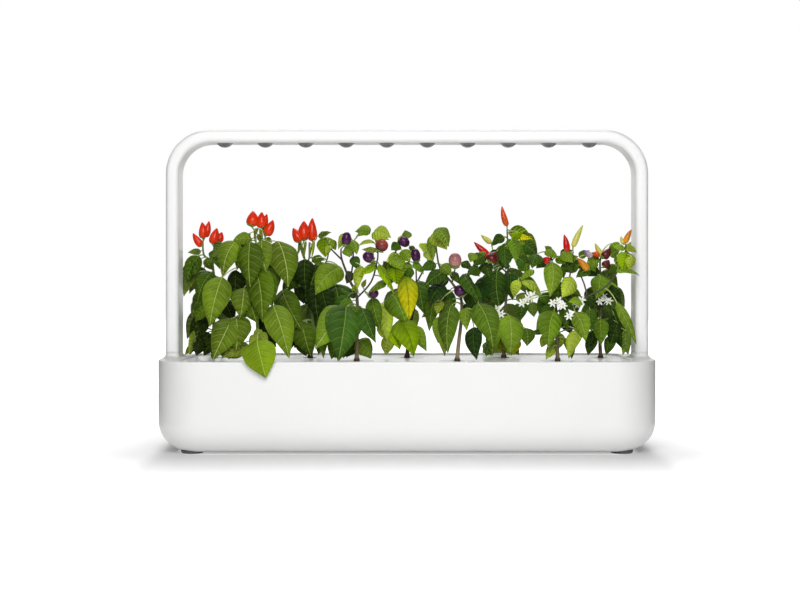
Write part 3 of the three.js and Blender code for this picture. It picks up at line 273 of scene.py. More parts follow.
# Skeleton of each plant: twigs as runs of points [across, down, depth share]
twigs_px = [
    [
        [[213, 340, 1], [214, 316, 1.1], [213, 267, 1.1], [204, 255, 1], [203, 242, 1]],
        [[213, 267, 1.1], [214, 248, 1.3]],
        [[213, 292, 1.1], [230, 262, 0.8], [231, 246, 0.9]],
    ],
    [
        [[258, 340, -1], [257, 318, -1], [256, 282, -0.95], [256, 244, -1], [254, 230, -1]],
        [[256, 290, -0.95], [242, 268, -1.2], [238, 246, -1.1]],
        [[256, 262, -1], [266, 244, -1.1], [264, 234, -1.1]],
        [[257, 330, -1], [259, 336, -1.9]],
    ],
    [
        [[314, 340, 1], [312, 316, 1], [309, 280, 1.1], [305, 260, 1], [302, 246, 1]],
        [[307, 268, 1.05], [312, 246, 1.2]],
        [[309, 285, 1.05], [326, 262, 0.9], [329, 244, 0.9]],
    ],
    [
        [[357, 340, -1], [357, 298, -1], [350, 281, -1], [342, 260, -1.1], [341, 249, -1.1]],
        [[357, 298, -1], [371, 282, -1.1], [377, 262, -1.2], [378, 252, -1.2]],
        [[350, 281, -1], [353, 262, -1.2], [353, 242, -1.2]],
        [[342, 260, -1.1], [331, 249, -1.1]],
    ],
    [
        [[409, 340, 1], [411, 324, 1], [404, 305, 1], [398, 280, 0.9], [393, 262, 1], [398, 246, 1]],
        [[411, 324, 1], [416, 298, 1], [416, 264, 1.1]],
        [[393, 262, 1], [383, 262, 1]],
        [[416, 284, 1.05], [428, 262, 1.1]],
    ],
    [
        [
            [459, 340, -1], [461, 322, -1], [461, 298, -1], [452, 283, -1.1], [440, 268, -1.1],
            [436, 246, -1.1],
        ],
        [[452, 283, -1.1], [455, 269, -1.2]],
        [[461, 320, -1], [472, 312, -1.2], [478, 302, -1.4]],
        [[461, 298, -1], [468, 278, -1.1], [476, 260, -1.2]],
    ],
    [
        [[504, 340, 1], [505, 318, 1], [506, 300, 1], [508, 274, 1], [508, 250, 1.1], [507, 230, 1.2]],
        [[508, 274, 1], [498, 264, 1.1], [494, 258, 1.1]],
        [[508, 262, 1.05], [522, 248, 1.2]],
        [[507, 290, 1], [524, 278, 0.9]],
    ],
    [
        [[557, 340, -1], [556, 310, -1], [552, 290, -1.1], [552, 262, -1.1], [548, 253, -1.1]],
        [[556, 306, -1], [564, 296, -1.1], [571, 270, -1.2], [573, 252, -1.2]],
        [[556, 312, -1], [584, 298, -1.1], [585, 287, -1.1], [579, 272, -1.1]],
        [[584, 298, -1.1], [604, 288, -1.3], [616, 274, -1.5], [624, 258, -1.5], [626, 244, -1.5]],
    ],
    [
        [[600, 340, 1], [601, 305, 1], [601, 284, 1], [600, 264, 1.1], [602, 252, 1.1]],
        [[601, 284, 1], [611, 272, 1.1], [617, 262, 1.1]],
        [[601, 308, 1], [614, 304, 1.1]],
        [[601, 284, 1], [594, 268, 1], [594, 258, 1]],
    ],
]

# Leaves of each plant, its large ones first: [base across, base down, tip across, tip down, width,
# base depth share, tip depth share, tone]
leaves_px = [
    [
        [201, 251, 188, 252, 6, 1, 1.2, 3], [199, 256, 185, 281, 16, 0.9, 0.7, 1],
        [193, 274, 184, 296, 10, 1.2, 1.5, 4], [212, 272, 197, 302, 19, 0.8, 0.4, 1],
        [206, 300, 190, 319, 16, 0.9, 0.6, 2], [207, 317, 188, 346, 17, 0.9, 0.5, 0],
        [199, 330, 185, 359, 11, 0.8, 0.3, 4], [208, 332, 196, 356, 18, 1.1, 1.3, 0],
        [216, 332, 213, 356, 14, 0.7, 0.3, 1], [232, 243, 222, 277, 18, 0.8, 0.5, 4],
        [216, 276, 226, 308, 17, 1.4, 2.2, 1], [204, 268, 190, 292, 16, 1.6, 2.4, 1],
        [216, 300, 232, 328, 18, 1.5, 2.3, 1], [210, 305, 196, 334, 17, 1.7, 2.6, 2],
        [214, 250, 220, 268, 11, 1.6, 2.2, 3], [196, 264, 184, 295, 13, 1.1, 1.4, 4],
        [206, 292, 192, 312, 15, 0.6, 0.9, 1], [212, 306, 194, 322, 13, 0.4, 0.7, 2],
        [204, 312, 187, 338, 15, 1, 1.3, 0], [202, 330, 188, 356, 14, 0.7, 1, 0],
        [214, 334, 203, 356, 13, 0.4, 0.5, 0], [196, 345, 185, 357, 7, 1.2, 1.5, 4],
        [224, 300, 234, 322, 13, 0.5, 0.4, 0], [206, 258, 212, 270, 8, 0.8, 0.9, 2],
        [223, 243, 212, 257, 10, 0.9, 1, 1], [200, 340, 196, 361, 13, 0.6, 0.5, 0],
        [221, 338, 222, 361, 12, 0.5, 0.4, 1], [190, 262, 185, 290, 10, 1, 1.2, 1],
    ],
    [
        [222, 277, 209, 326, 24, -1.5, -2.1, 3], [232, 318, 212, 360, 25, -1.6, -2.4, 3],
        [236, 318, 236, 349, 23, -1.7, -2.3, 3], [250, 346, 221, 357, 13, -1.4, -2, 4],
        [257, 340, 266, 378, 29, -3.03, -3.19, 7], [273, 305, 289, 357, 25, -1.5, -2.2, 3],
        [278, 241, 288, 286, 26, -1.3, -1.8, 3], [250, 242, 250, 286, 25, -1.5, -2, 2],
        [262, 240, 266, 271, 19, -1.4, -1.9, 3], [268, 262, 272, 306, 19, -1.2, -1.7, 2],
        [255, 266, 262, 321, 25, -1.4, -2, 2], [244, 288, 240, 317, 21, -1.3, -1.8, 3],
        [248, 296, 257, 322, 20, -1.2, -1.6, 2], [236, 270, 233, 305, 15, -0.8, -0.5, 0],
        [262, 310, 277, 348, 15, -0.7, -0.4, 0], [246, 241, 236, 268, 18, -1.1, -1.4, 2],
        [258, 334, 249, 344, 9, -1.9, -2.2, 4], [260, 333, 268, 345, 10, -1.8, -2.1, 4],
        [238, 243, 222, 262, 17, -1.2, -1.5, 2], [246, 272, 232, 304, 16, -0.5, -0.5, 1],
        [252, 288, 240, 321, 19, -0.8, -0.8, 2], [240, 316, 239.5, 347, 20, -1.7, -1.6, 2],
        [246, 350, 223, 357, 10, -1.1, -1.2, 4], [284, 318, 272, 346, 12, -0.4, -0.3, 0],
        [250, 233, 246, 241, 4, -1, -1.1, 4], [258, 234, 262, 243, 4, -1, -1, 4],
        [266, 238, 272, 243, 4, -1, -1, 4], [262, 330, 254, 340, 7, -1.8, -2, 4],
        [268, 262, 276, 292, 15, -0.5, -0.4, 1], [236, 241, 223, 273, 20, -1.3, -1.5, 3],
        [252, 239, 231, 243, 12, -1.2, -1.3, 3], [244, 343, 228, 361, 14, -1.4, -1.7, 3],
        [258, 228, 254, 240, 3, -1.05, -1.1, 4], [260, 229, 263, 241, 3, -1.05, -1.1, 4],
    ],
    [
        [305, 259, 306, 292, 18, 0.8, 0.5, 0], [299, 264, 288, 288, 13, 0.9, 0.8, 0],
        [341, 267, 315, 294, 22, 0.7, 0.3, 3], [312, 258, 325, 260, 8, 1, 0.9, 2],
        [316, 258, 319, 266, 9, 0.8, 0.6, 2], [326, 237, 325, 257, 16, 0.9, 0.7, 5],
        [330, 240, 336, 250, 8, 1, 1.1, 4], [318, 282, 318, 318, 19, 0.8, 0.4, 0],
        [282, 290, 303, 331, 22, 0.6, 0.2, 2], [302, 322, 311, 358, 22, 0.7, 0.3, 2],
        [304, 328, 294, 348, 14, 0.9, 0.8, 1], [315, 300, 317, 345, 14, 1.2, 1.4, 0],
        [335, 284, 338, 312, 24, 0.8, 0.5, 1], [309, 270, 296, 296, 18, 1.5, 2.3, 1],
        [318, 262, 334, 286, 18, 1.5, 2.4, 2], [310, 292, 326, 324, 19, 1.7, 2.6, 1],
        [308, 304, 290, 330, 18, 1.6, 2.4, 2], [318, 268, 309, 297, 14, 0.8, 0.9, 1],
        [322, 288, 330, 314, 18, 0.5, 0.5, 0], [301, 243, 304, 260, 2.2, 1, 1, 4],
        [309, 242, 308, 260, 2.2, 1, 1, 4], [314, 240, 311, 260, 2.2, 0.9, 1, 4],
        [318, 236, 331, 232, 8, 1, 1.2, 4], [300, 322, 290, 350, 14, 0.7, 0.8, 0],
        [322, 330, 318, 355, 12, 0.5, 0.6, 1], [297, 276, 282, 292, 13, 0.9, 0.8, 1],
        [300, 286, 304, 304, 12, 1, 1, 0], [303, 340, 306, 361, 13, 0.6, 0.5, 1],
        [300, 240, 297, 256, 3, 1, 1, 3], [306, 241, 304, 260, 2.5, 1, 1, 4],
    ],
    [
        [345, 308, 315, 347, 28, -1.4, -2.3, 3], [346, 306, 338, 364, 32, -1.5, -2.6, 1],
        [362, 308, 376, 342, 18, -1.5, -2, 1], [326, 338, 323.5, 361, 6, -1.3, -1.5, 3],
        [358, 340, 372, 359, 16, -0.9, -0.8, 3], [348, 340, 343, 359, 16, -0.9, -0.8, 3],
        [370, 230, 356, 236, 8, -1.3, -1.5, 3], [372, 233, 389, 239, 10, -1.3, -1.5, 4],
        [346, 233, 338, 249, 9, -0.9, -1, 4], [352, 240, 357, 254, 10, -1.3, -1.5, 3],
        [347, 247, 350, 257, 10, -1.3, -1.5, 3], [352, 257, 359, 270, 9, -1.1, -1.3, 1],
        [374, 242, 358, 246, 6, -1.3, -1.6, 4], [376, 250, 362, 249, 6, -1.2, -1.3, 4],
        [379, 264, 395, 294, 9, -1.4, -1.7, 5], [375, 265, 359, 276, 10, -1.4, -1.7, 5],
        [386, 280, 368, 292, 9, -1.2, -1.4, 3], [362, 266, 357, 290, 9, -1.4, -1.6, 4],
        [352, 272, 346, 284, 10, -0.8, -0.6, 1], [372, 298, 381, 330, 16, -0.8, -0.5, 2],
        [348, 296, 336, 322, 18, -0.7, -0.3, 1], [352, 291, 357, 283, 4, -1, -1.1, 4],
        [358, 293, 352, 285, 4, -1, -1, 4], [362, 287, 366, 279, 4, -0.9, -0.9, 4],
        [356, 297, 340, 290, 9, -0.5, -0.5, 1], [352, 301, 338, 306, 9, -0.9, -1, 2],
        [362, 308, 343, 337, 20, -1.3, -1.4, 2], [360, 340, 346, 358, 14, -0.7, -0.8, 1],
        [346, 246, 352, 256, 7, -0.9, -1, 3], [330, 246, 326, 254, 5, -0.8, -0.8, 4],
        [372, 262, 378, 270, 6, -1, -1.1, 4], [368, 252, 374, 258, 5, -1, -1, 4],
        [371, 229, 355, 231, 10, -1.35, -1.4, 3], [374, 231, 391, 237, 12, -1.35, -1.5, 4],
        [338, 338, 331, 360, 14, -1.1, -1.2, 2], [352, 342, 334, 360, 13, -0.8, -0.9, 1],
        [362, 342, 371, 361, 13, -0.8, -0.8, 2],
    ],
    [
        [405, 276, 409, 320, 17, 0.7, 0.3, 6], [396, 266, 397, 284, 15, 0.8, 0.6, 5],
        [381, 303, 387, 341, 14, 0.8, 0.5, 4], [392, 294, 406, 323, 23, 0.7, 0.4, 2],
        [399, 320, 414, 358, 22, 0.6, 0.2, 5], [392, 326, 400, 349, 14, 0.8, 0.5, 5],
        [416, 326, 427, 351, 11, 0.8, 0.6, 3], [407, 239, 405, 230, 9, 1, 1, 3],
        [399, 243, 391, 250, 10, 0.9, 0.8, 1], [400, 255, 386, 262, 9, 0.8, 0.7, 4],
        [402, 250, 410, 262, 11, 0.9, 0.8, 3], [395, 254, 403, 270, 15, 0.8, 0.6, 3],
        [426, 243, 424, 253, 10, 1, 0.9, 4], [420, 281, 424, 313, 17, 0.8, 0.5, 1],
        [436, 290, 429, 331, 13, 0.7, 0.4, 2], [414, 262, 424, 274, 9, 1, 0.9, 2],
        [408, 262, 404, 278, 10, 1.1, 1, 3], [400, 288, 386, 314, 18, 1.5, 2.4, 2],
        [414, 284, 430, 310, 17, 1.6, 2.5, 1], [404, 306, 414, 334, 17, 1.6, 2.5, 4],
        [398, 264, 388, 286, 15, 1.5, 2.2, 3], [394, 258, 400, 284, 16, 0.8, 1, 5],
        [418, 282, 428, 316, 15, 0.9, 1, 1], [440, 306, 421, 317, 12, 0.6, 0.7, 2],
        [410, 246, 416, 254, 6, 1, 1.1, 2], [402, 250, 410, 262, 9, 1.1, 1.2, 2],
        [384, 262, 392, 272, 8, 1.2, 1.2, 1], [424, 252, 432, 262, 7, 0.9, 1, 4],
        [412, 268, 404, 280, 9, 0.8, 0.9, 1], [381, 322, 392, 342, 14, 0.8, 0.8, 4],
        [390, 336, 386, 360, 12, 0.7, 0.7, 4], [402, 264, 392, 274, 9, 1, 1, 4],
    ],
    [
        [434, 232, 447, 249, 17, -1.2, -1.5, 4], [431, 236, 433, 262, 8, -1.2, -1.4, 3],
        [428, 244, 425, 253, 10, -1, -1.1, 4], [441, 265, 452, 275, 11, -1.4, -1.6, 3],
        [436, 264, 420, 270, 9, -1.2, -1.4, 1], [446, 271, 424, 286, 15, -1.3, -1.6, 1],
        [443, 284, 429, 306, 17, -1.1, -1.3, 0], [451, 305, 448, 352, 18, -1.6, -2.3, 2],
        [442, 318, 445, 356, 11, -1.1, -1.3, 4], [441, 300, 437, 314, 9, -1, -1.1, 4],
        [463, 274, 479, 300, 15, -1.4, -1.8, 1], [478, 303, 493, 345, 22, -1.5, -2.2, 2],
        [474, 327, 477, 360, 15, -1.6, -2.1, 0], [466, 308, 467, 330, 11, -1.3, -1.6, 3],
        [484, 255, 474, 266, 12, -1.2, -1.3, 1], [474, 253, 470, 262, 9, -1.3, -1.4, 3],
        [479, 267, 467, 274, 11, -1.2, -1.4, 1], [450, 290, 438, 318, 16, -0.7, -0.3, 1],
        [468, 284, 480, 312, 17, -0.7, -0.3, 1], [462, 262, 472, 270, 9, -0.7, -0.8, 1],
        [452, 272, 460, 284, 8, -0.8, -0.9, 2], [470, 268, 480, 276, 8, -0.9, -1, 2],
        [444, 268, 436, 276, 8, -0.8, -0.9, 1], [464, 304, 474, 318, 10, -0.6, -0.6, 1],
        [452, 300, 442, 310, 8, -0.7, -0.8, 2], [478, 258, 486, 252, 6, -0.9, -1, 4],
        [437, 228, 449, 246, 15, -1.75, -2, 3], [484, 262, 490, 277, 12, -0.9, -1, 1],
        [443, 316, 438, 343, 13, -1.2, -1.4, 3], [446, 276, 436, 290, 10, -0.8, -0.8, 1],
    ],
    [
        [497, 270, 499, 304, 24, 0.6, 0.3, 1], [509, 315, 510, 355, 22, 0.6, 0.2, 3],
        [518, 339, 511, 361, 9, 0.9, 0.8, 6], [505, 342, 510, 361, 9, 1, 0.9, 5],
        [505, 243, 506, 270, 13, 0.8, 0.6, 1], [512, 240, 516, 263, 11, 0.9, 0.8, 2],
        [510, 234, 533, 238, 8, 1.1, 1, 6], [516, 241, 531, 258, 13, 0.9, 0.8, 3],
        [499, 238, 491, 246, 7, 1.2, 1.3, 3], [504, 247, 494, 252, 6, 1.1, 1.1, 3],
        [519, 263, 530, 271, 10, 0.9, 0.8, 2], [511, 273, 513, 300, 13, 0.8, 0.6, 0],
        [520, 277, 512, 297, 12, 1.1, 1.2, 4], [522, 280, 542, 297, 10, 0.8, 0.7, 4],
        [534, 270, 520, 281, 7, 0.8, 0.7, 3], [523, 302, 521, 320, 12, 0.8, 0.7, 1],
        [533, 302, 534, 317, 10, 1, 1, 2], [526, 328, 527, 346, 14, 0.7, 0.5, 2],
        [495, 320, 492, 357, 13, 0.6, 0.3, 3], [498, 341, 492, 372, 22, 3.04, 3.19, 3],
        [485, 278, 484, 305, 19, 1, 1.2, 1], [504, 286, 490, 314, 18, 1.5, 2.4, 1],
        [510, 268, 526, 292, 17, 1.6, 2.4, 2], [506, 304, 522, 332, 18, 1.6, 2.6, 2],
        [506, 252, 494, 274, 15, 1.6, 2.3, 1], [505, 238, 492, 243, 9, 0.8, 0.9, 1],
        [512, 240, 504, 249, 9, 0.9, 1, 2], [514, 246, 526, 262, 13, 0.9, 1, 2],
        [524, 244, 538, 256, 13, 1, 1.1, 1], [506, 246, 502, 264, 12, 0.7, 0.8, 2],
        [518, 258, 530, 272, 12, 0.8, 0.9, 1], [512, 240, 523, 232, 7, 0.9, 1, 5],
        [518, 280, 514, 298, 9, 0.4, 0.5, 4], [524, 276, 541, 296, 12, 0.9, 1, 3],
        [500, 326, 490, 356, 14, 0.8, 0.9, 2], [513, 338, 514, 358, 13, 1.3, 1.4, 6],
        [490, 276, 480, 306, 15, 0.5, 0.4, 0], [498, 250, 490, 262, 8, 0.8, 0.8, 1],
        [509, 231, 532, 239, 12, 1.4, 1.6, 5], [520, 233, 537, 250, 12, 1.35, 1.5, 3],
        [516, 296, 532, 303, 9, 0.9, 1, 4], [492, 342, 486, 361, 14, 0.6, 0.5, 2],
        [500, 340, 503, 362, 9, 1.3, 1.4, 6], [506, 342, 519, 361, 12, 1.1, 1.2, 5],
    ],
    [
        [552, 262, 550, 296, 16, -1.4, -1.8, 3], [537, 254, 532, 268, 13, -1.2, -1.4, 1],
        [545, 251, 558, 258, 9, -1.3, -1.5, 3], [562, 252, 573, 262, 11, -1.3, -1.5, 3],
        [564, 262, 573, 273, 13, -1.1, -1.2, 1], [560, 267, 564, 278, 9, -1.2, -1.3, 1],
        [573, 278, 562, 297, 15, -1.3, -1.6, 4], [554, 311, 549, 347, 22, -1.5, -2.1, 2],
        [548, 314, 536, 330, 11, -1.2, -1.4, 2], [546, 330, 528, 334, 7, -1.1, -1.3, 1],
        [546, 335, 541, 348, 8, -0.8, -0.6, 4], [560, 333, 559, 349, 8, -0.8, -0.6, 4],
        [553, 347, 546, 359, 8, -1.3, -1.6, 4], [563, 305, 568, 331, 9, -1.3, -1.5, 1],
        [575, 312, 586, 341, 15, -1.5, -2, 3], [568, 317, 578, 332, 11, -1.1, -1.2, 1],
        [579, 330, 569, 358, 12, -1.6, -2, 4], [590, 309, 592, 331, 13, -1.2, -1.4, 1],
        [582, 302, 569, 301, 9, -1.4, -1.7, 3], [585, 300, 596, 306, 9, -1.2, -1.3, 0],
        [588, 333, 589, 346, 8, -0.9, -0.8, 0], [616, 271, 640, 275, 7, -1.5, -1.7, 3],
        [617, 303, 637.5, 344, 9, -1.5, -1.7, 3], [550, 292, 540, 318, 15, -0.7, -0.3, 1],
        [566, 288, 578, 314, 16, -0.7, -0.3, 2], [560, 257, 572, 250, 8, -0.8, -0.9, 1],
        [566, 263, 578, 256, 9, -0.8, -0.9, 2], [552, 253, 545, 246, 7, -0.9, -1, 2],
        [572, 262, 584, 268, 8, -0.7, -0.8, 1], [570, 271, 580, 264, 7, -0.8, -0.9, 2],
        [552, 301, 538, 298, 8, -1, -1.1, 1], [556, 306, 540, 318, 11, -1.1, -1.2, 1],
        [574, 304, 588, 299, 10, -0.7, -0.8, 0], [566, 300, 578, 312, 10, -1, -1.1, 1],
        [546, 262, 536, 268, 8, -0.6, -0.7, 1], [562, 318, 572, 334, 11, -0.6, -0.6, 0],
        [628, 252, 623, 271, 15, -1.5, -1.7, 5], [626, 247, 637, 252, 8, -1.5, -1.6, 4],
        [625, 248, 613, 246, 7, -1.4, -1.5, 3], [632, 256, 630, 270, 9, -1.6, -1.7, 4],
        [557, 256, 566, 264, 9, -1.2, -1.3, 2], [590, 270, 576, 277, 9, -1.1, -1.2, 1],
        [560, 282, 556, 304, 12, -1, -1, 1], [556, 340, 546, 360, 9, -0.9, -1, 3],
        [566, 338, 572, 360, 9, -0.9, -1, 2],
    ],
    [
        [600, 275, 596, 299, 18, 0.7, 0.4, 2], [605, 283, 622, 300, 11, 0.9, 0.9, 3],
        [613, 287, 625, 307, 10, 1.1, 1.2, 0], [624, 254, 627, 271, 18, 1.1, 1.1, 5],
        [612, 243, 618, 252, 10, 1.1, 1, 3], [627, 244, 636, 252, 9, 1.2, 1.2, 4],
        [589, 255, 601, 262, 10, 0.9, 0.8, 2], [597, 261, 587, 269, 10, 0.8, 0.7, 3],
        [608, 266, 622, 268, 6, 1, 1, 3], [614, 315, 622, 348, 21, 0.8, 0.9, 0],
        [600, 318, 601, 345, 14, 0.7, 0.4, 2], [610, 300, 623, 313, 11, 0.9, 0.9, 1],
        [628, 328, 622, 355, 11, 1.1, 1.1, 3], [596, 303, 606, 301, 8, 0.8, 0.7, 0],
        [599, 286, 588, 312, 17, 1.5, 2.4, 1], [604, 270, 618, 292, 16, 1.6, 2.4, 2],
        [602, 306, 616, 334, 18, 1.6, 2.5, 1], [598, 302, 584, 330, 17, 1.5, 2.3, 2],
        [580, 257, 590, 250, 7, 0.7, 0.8, 2], [606, 286, 622, 300, 13, 0.8, 0.9, 0],
        [600, 300, 590, 316, 11, 0.9, 1, 0], [604, 304, 618, 313, 10, 0.9, 1, 1],
        [596, 299, 584, 307, 9, 0.8, 0.9, 1], [594, 330, 588, 352, 9, 0.6, 0.7, 0],
        [610, 256, 620, 250, 8, 0.9, 1, 2], [616, 266, 606, 274, 9, 0.8, 0.9, 1],
        [588, 262, 596, 272, 8, 0.7, 0.8, 2], [618, 322, 610, 346, 12, 0.6, 0.7, 0],
        [598, 268, 588, 276, 9, 1, 1, 0], [594, 336, 588, 360, 10, 0.7, 0.7, 1],
        [626, 330, 629, 357, 10, 1, 1, 2], [612, 336, 606, 358, 10, 0.8, 0.9, 1],
    ],
]

# Fruits of each plant: [base across, base down, tip across, tip down, width, depth share, tone]
fruits_px = [
    [
        [202, 246, 193, 233, 6, 0.9, 0], [203, 238, 202, 222, 7, 1, 0], [205, 237, 209, 221, 6, 1.1, 0],
        [213, 244, 217, 228, 8, 1.1, 0], [219, 242, 222, 232, 6, 1.3, 0],
    ],
    [
        [252, 226, 253, 211, 10, -1.1, 0], [262, 228, 262, 212, 8, -1.1, 0], [263, 229, 267, 214, 6, -1, 0],
        [266, 235, 273, 220, 8, -1.2, 0],
    ],
    [
        [300, 242, 293, 228, 8, 0.9, 0], [304, 240, 304, 221, 10, 1, 0], [313, 241, 312.5, 218, 8, 1.2, 0],
    ],
    [
        [345, 246, 346.5, 232, 7.6, -1.4, 2], [379, 251, 385, 240, 10.2, -1.5, 3],
        [373, 261, 364, 253, 8.5, -1.5, 2], [370, 297, 377, 290, 7.5, -1.2, 2],
    ],
    [
        [399, 238, 409, 245, 7.8, 0.9, 2], [417, 262, 414.5, 248.5, 7.6, 0.9, 2],
    ],
    [
        [455, 268, 455, 253, 10.2, -1.4, 4], [490, 262, 496, 252, 10.5, -1.3, 5],
        [463, 296, 458, 285, 10, -1.4, 2],
    ],
    [
        [489, 256, 474, 242, 5.5, 0.9, 1], [491, 243, 481, 235, 4.5, 1.2, 6],
        [507, 226, 502, 206, 4.9, 1.2, 7],
    ],
    [
        [567, 252, 564, 234.5, 5.3, -1.3, 1], [573, 247, 583, 225, 4.7, -1.2, 6],
        [549, 262, 543, 258, 6, -1.4, 1], [588, 270, 577, 258, 5.8, -1.4, 8],
        [625, 243, 631.5, 229.5, 4.7, -1.5, 8], [623, 244, 621, 236, 3, -1.5, 6],
    ],
    [
        [592, 257, 583.5, 250, 5, 0.8, 9], [599, 254, 592, 256, 5.5, 0.9, 7],
        [603, 257, 595, 243, 4.5, 1, 6], [603, 258, 610, 248, 7, 0.9, 5], [604, 267, 609, 260, 7, 0.8, 5],
    ],
]

# Flowers: [pod, across, down, depth share]
flowers_px = [
    [8, 527, 299, -1.3], [8, 559, 301, -1.5], [8, 569, 316, -1.7], [9, 604.5, 297.5, 0.7],
    [8, 581.5, 300, -1.4], [8, 533, 295, -1.2], [8, 553, 303, -1.6], [9, 609, 301, 0.6], [7, 497, 309, 0.6],
    [7, 501, 314, 0.5], [8, 522, 303, -1.2], [8, 563, 306, -1.6], [8, 577, 304, -1.3], [9, 600, 301, 0.6],
]
flower_petals = 6
flower_petal_length = 6.2 * mm
flower_petal_width = 2.5 * mm
flower_centre_radius = 1.1 * mm
flower_centre_sides = 8
flower_turn_spread = 0.15
flower_side_tilt = 0.4
flower_up_tilt = (-0.3, 0.5)
flower_cup_share = 0.35
flower_curl_share = 1.6
flower_centre_shares = (0.6, 1.0, 0.4)
flower_stalk_gains = (0.8, 0.7)
flower_stalk_rise_share = 0.15
petal_outline_shares = [[0.05, 0.4], [0.3, 0.85], [0.55, 1.0], [0.8, 0.7], [1.0, 0.06]]
petal_section = [[-1, 0.0], [0, 1.0], [1, 0.0], [0, -0.4]]
petal_tone = (246, 248, 238)
flower_centre_tone = (214, 216, 120)

# Tones of leaves, fruits and stems as screen colours, with the shares and gains that blend them
# The darkest leaf tones stand for leaves deep in shade and the bright yellow ones for leaves that light
# shines through: the leaves' own greens with painted shade and painted light in them
leaf_tones = [
    (30, 46, 4), (56, 82, 8), (84, 112, 12), (110, 138, 22), (150, 170, 44), (140, 172, 8), (216, 206, 18),
    (140, 172, 8),
]
vein_tones = [
    (90, 116, 38), (126, 154, 64), (160, 184, 84), (184, 202, 108), (206, 218, 136), (96, 134, 14),
    (138, 158, 10), (178, 202, 84),
]
fruit_tones = [
    [(232, 62, 14), (208, 30, 6)], [(208, 30, 24), (176, 14, 16)], [(88, 36, 86), (52, 18, 56)],
    [(84, 34, 44), (164, 72, 52)], [(190, 140, 130), (146, 84, 92)], [(104, 26, 22), (82, 18, 20)],
    [(216, 212, 112), (184, 184, 66)], [(220, 92, 28), (204, 60, 14)], [(228, 156, 24), (176, 96, 12)],
    [(210, 196, 186), (112, 74, 150)],
]
oval_fruit_tones = [2, 3, 4]
vein_gain_share = 0.85
first_yellow_tone = 4
first_bright_tone = 5
leaf_base_fade = 1.8
leaf_stalk_root_tone = (110, 130, 64)
leaf_stalk_end_tone = (196, 208, 150)
leaf_stalk_root_blend = 0.5
leaf_stalk_end_blend = 0.45
stem_green_gain = 1.6
stem_foot_tone_gain = 1.5
cool_leaf_tone = (30, 84, 40)
cool_leaf_shares = [0.0, 0.0, 0.06, 0.3, 0.15, 0.2, 0.25, 0.1, 0.1]
# Leaf brightness per plant: partly the plants' own tones, partly painted light that makes up for how much
# lamp light reaches each plant; veins follow it by vein_gain_share
leaf_gains = [0.94, 0.68, 0.84, 1.0, 1.34, 1.0, 1.26, 1.22, 1.42]
stem_tones = [
    [(96, 122, 56), (84, 110, 48)], [(150, 172, 90), (140, 170, 80)], [(104, 128, 64), (92, 116, 52)],
    [(160, 136, 100), (62, 52, 50)], [(74, 58, 50), (60, 48, 46)], [(176, 158, 124), (70, 74, 44)],
    [(140, 110, 82), (70, 82, 40)], [(128, 120, 82), (72, 70, 50)], [(104, 84, 64), (66, 66, 48)],
]
calyx_tone = (130, 162, 66)
stem_foot_tone = (52, 34, 26)

# Details of the materials: tones as screen colours, noise scales per metre, and shares.
# Noise is held as its scale, detail and roughness, and a bump as its depth in metres and strength.
# Three numbers of a roughness or of gains are the scale of their noise, the low and the high value.
# A range is what the noise spreads over, followed by what that becomes where it isn't 0 to 1.
noise_low = 0.3
noise_high = 0.7
plastic_mottle_share = 0.99
# Where the painted shade on upward plastic faces starts and becomes full, as the upward share of the normal
plastic_top_shade_start = 0.25
plastic_top_shade_end = 0.9
plastic_grain_scale = 2600.0
rubber_dust_gain = 1.5
lens_body_tone = (54, 55, 58)
lens_crown_tone = (138, 140, 142)
# Damp soil, dry soil and the painted shade in the gaps between crumbs
soil_tones = [(34, 23, 16), (92, 66, 44), (26, 18, 13)]
leaf_wobble_share = 0.3
leaf_side_vein_start = 0.87
leaf_side_vein_end = 0.98
leaf_vein_inner_share = 0.48
leaf_vein_outer_share = 0.1
leaf_midrib_inner = 0.012
leaf_midrib_outer = 0.048
leaf_midrib_strength = 0.95
leaf_side_vein_strength = 0.8
leaf_net_scale = 420.0
leaf_net_width = 0.12
leaf_net_strength = 0.08
# Painted shade in the dips along the side veins: its share, tone and blend
leaf_hollow_share = 0.18
leaf_hollow_shade_tone = (20, 34, 12)
leaf_hollow_blend = 0.6
leaf_under_share = 0.4
leaf_under_tone = (128, 150, 72)
leaf_under_roughness = 0.2
leaf_midrib_groove = 1.2
leaf_net_depth = -0.7
fruit_streak_tone = (30, 8, 8)
bark_streak_tone = (40, 30, 24)
petal_streak_tone = (206, 216, 190)
stem_grain_stretch = (1.0, 1.0, 0.16)
plastic_grain_depth = 0.00002
plastic_grain_strength = 0.2
# Share of the colour kept on upward plastic faces: painted shade against the light from above
plastic_top_share = 0.9
plastic_patches = (9.0, 2.0)
plastic_patch_range = (0.35, 0.65)
plastic_roughness_scale = 40.0
plastic_roughness_gains = (0.96, 1.05)
plastic_coat_roughness = 0.08
rubber_patches = (60.0, 4.0)
rubber_patch_range = (0.45, 0.75)
rubber_roughness = (90.0, 0.75, 0.95)
rubber_grain = (1800.0, 2.0)
rubber_bump = (0.00005, 0.5)
lens_roughness = (200.0, 0.1, 0.18)
lens_coat = 0.6
lens_coat_roughness = 0.05
lens_grain_scale = 900.0
lens_bump = (0.00001, 0.3)
board_cell_scale = 160.0
board_trace = 0.04
board_roughness = (300.0, 0.35, 0.5)
board_grain_scale = 1500.0
board_bump = (0.00002, 0.4)
soil_crumb_scale = 700.0
soil_patches = (260.0, 5.0, 0.7)
soil_patch_range = (0.35, 0.7)
soil_crumb_shade_range = (0.1, 0.5, 0.0, 0.6)
soil_dullness = (0.7, 0.98)
soil_bump = (0.0006, 0.9)
leaf_wobble = (70.0, 2.0)
leaf_patch_gains = (34.0, 0.82, 1.16)
leaf_hollow_range = (0.2, 0.9)
leaf_roughness = (120.0, 0.38, 0.5)
leaf_specular = 0.07
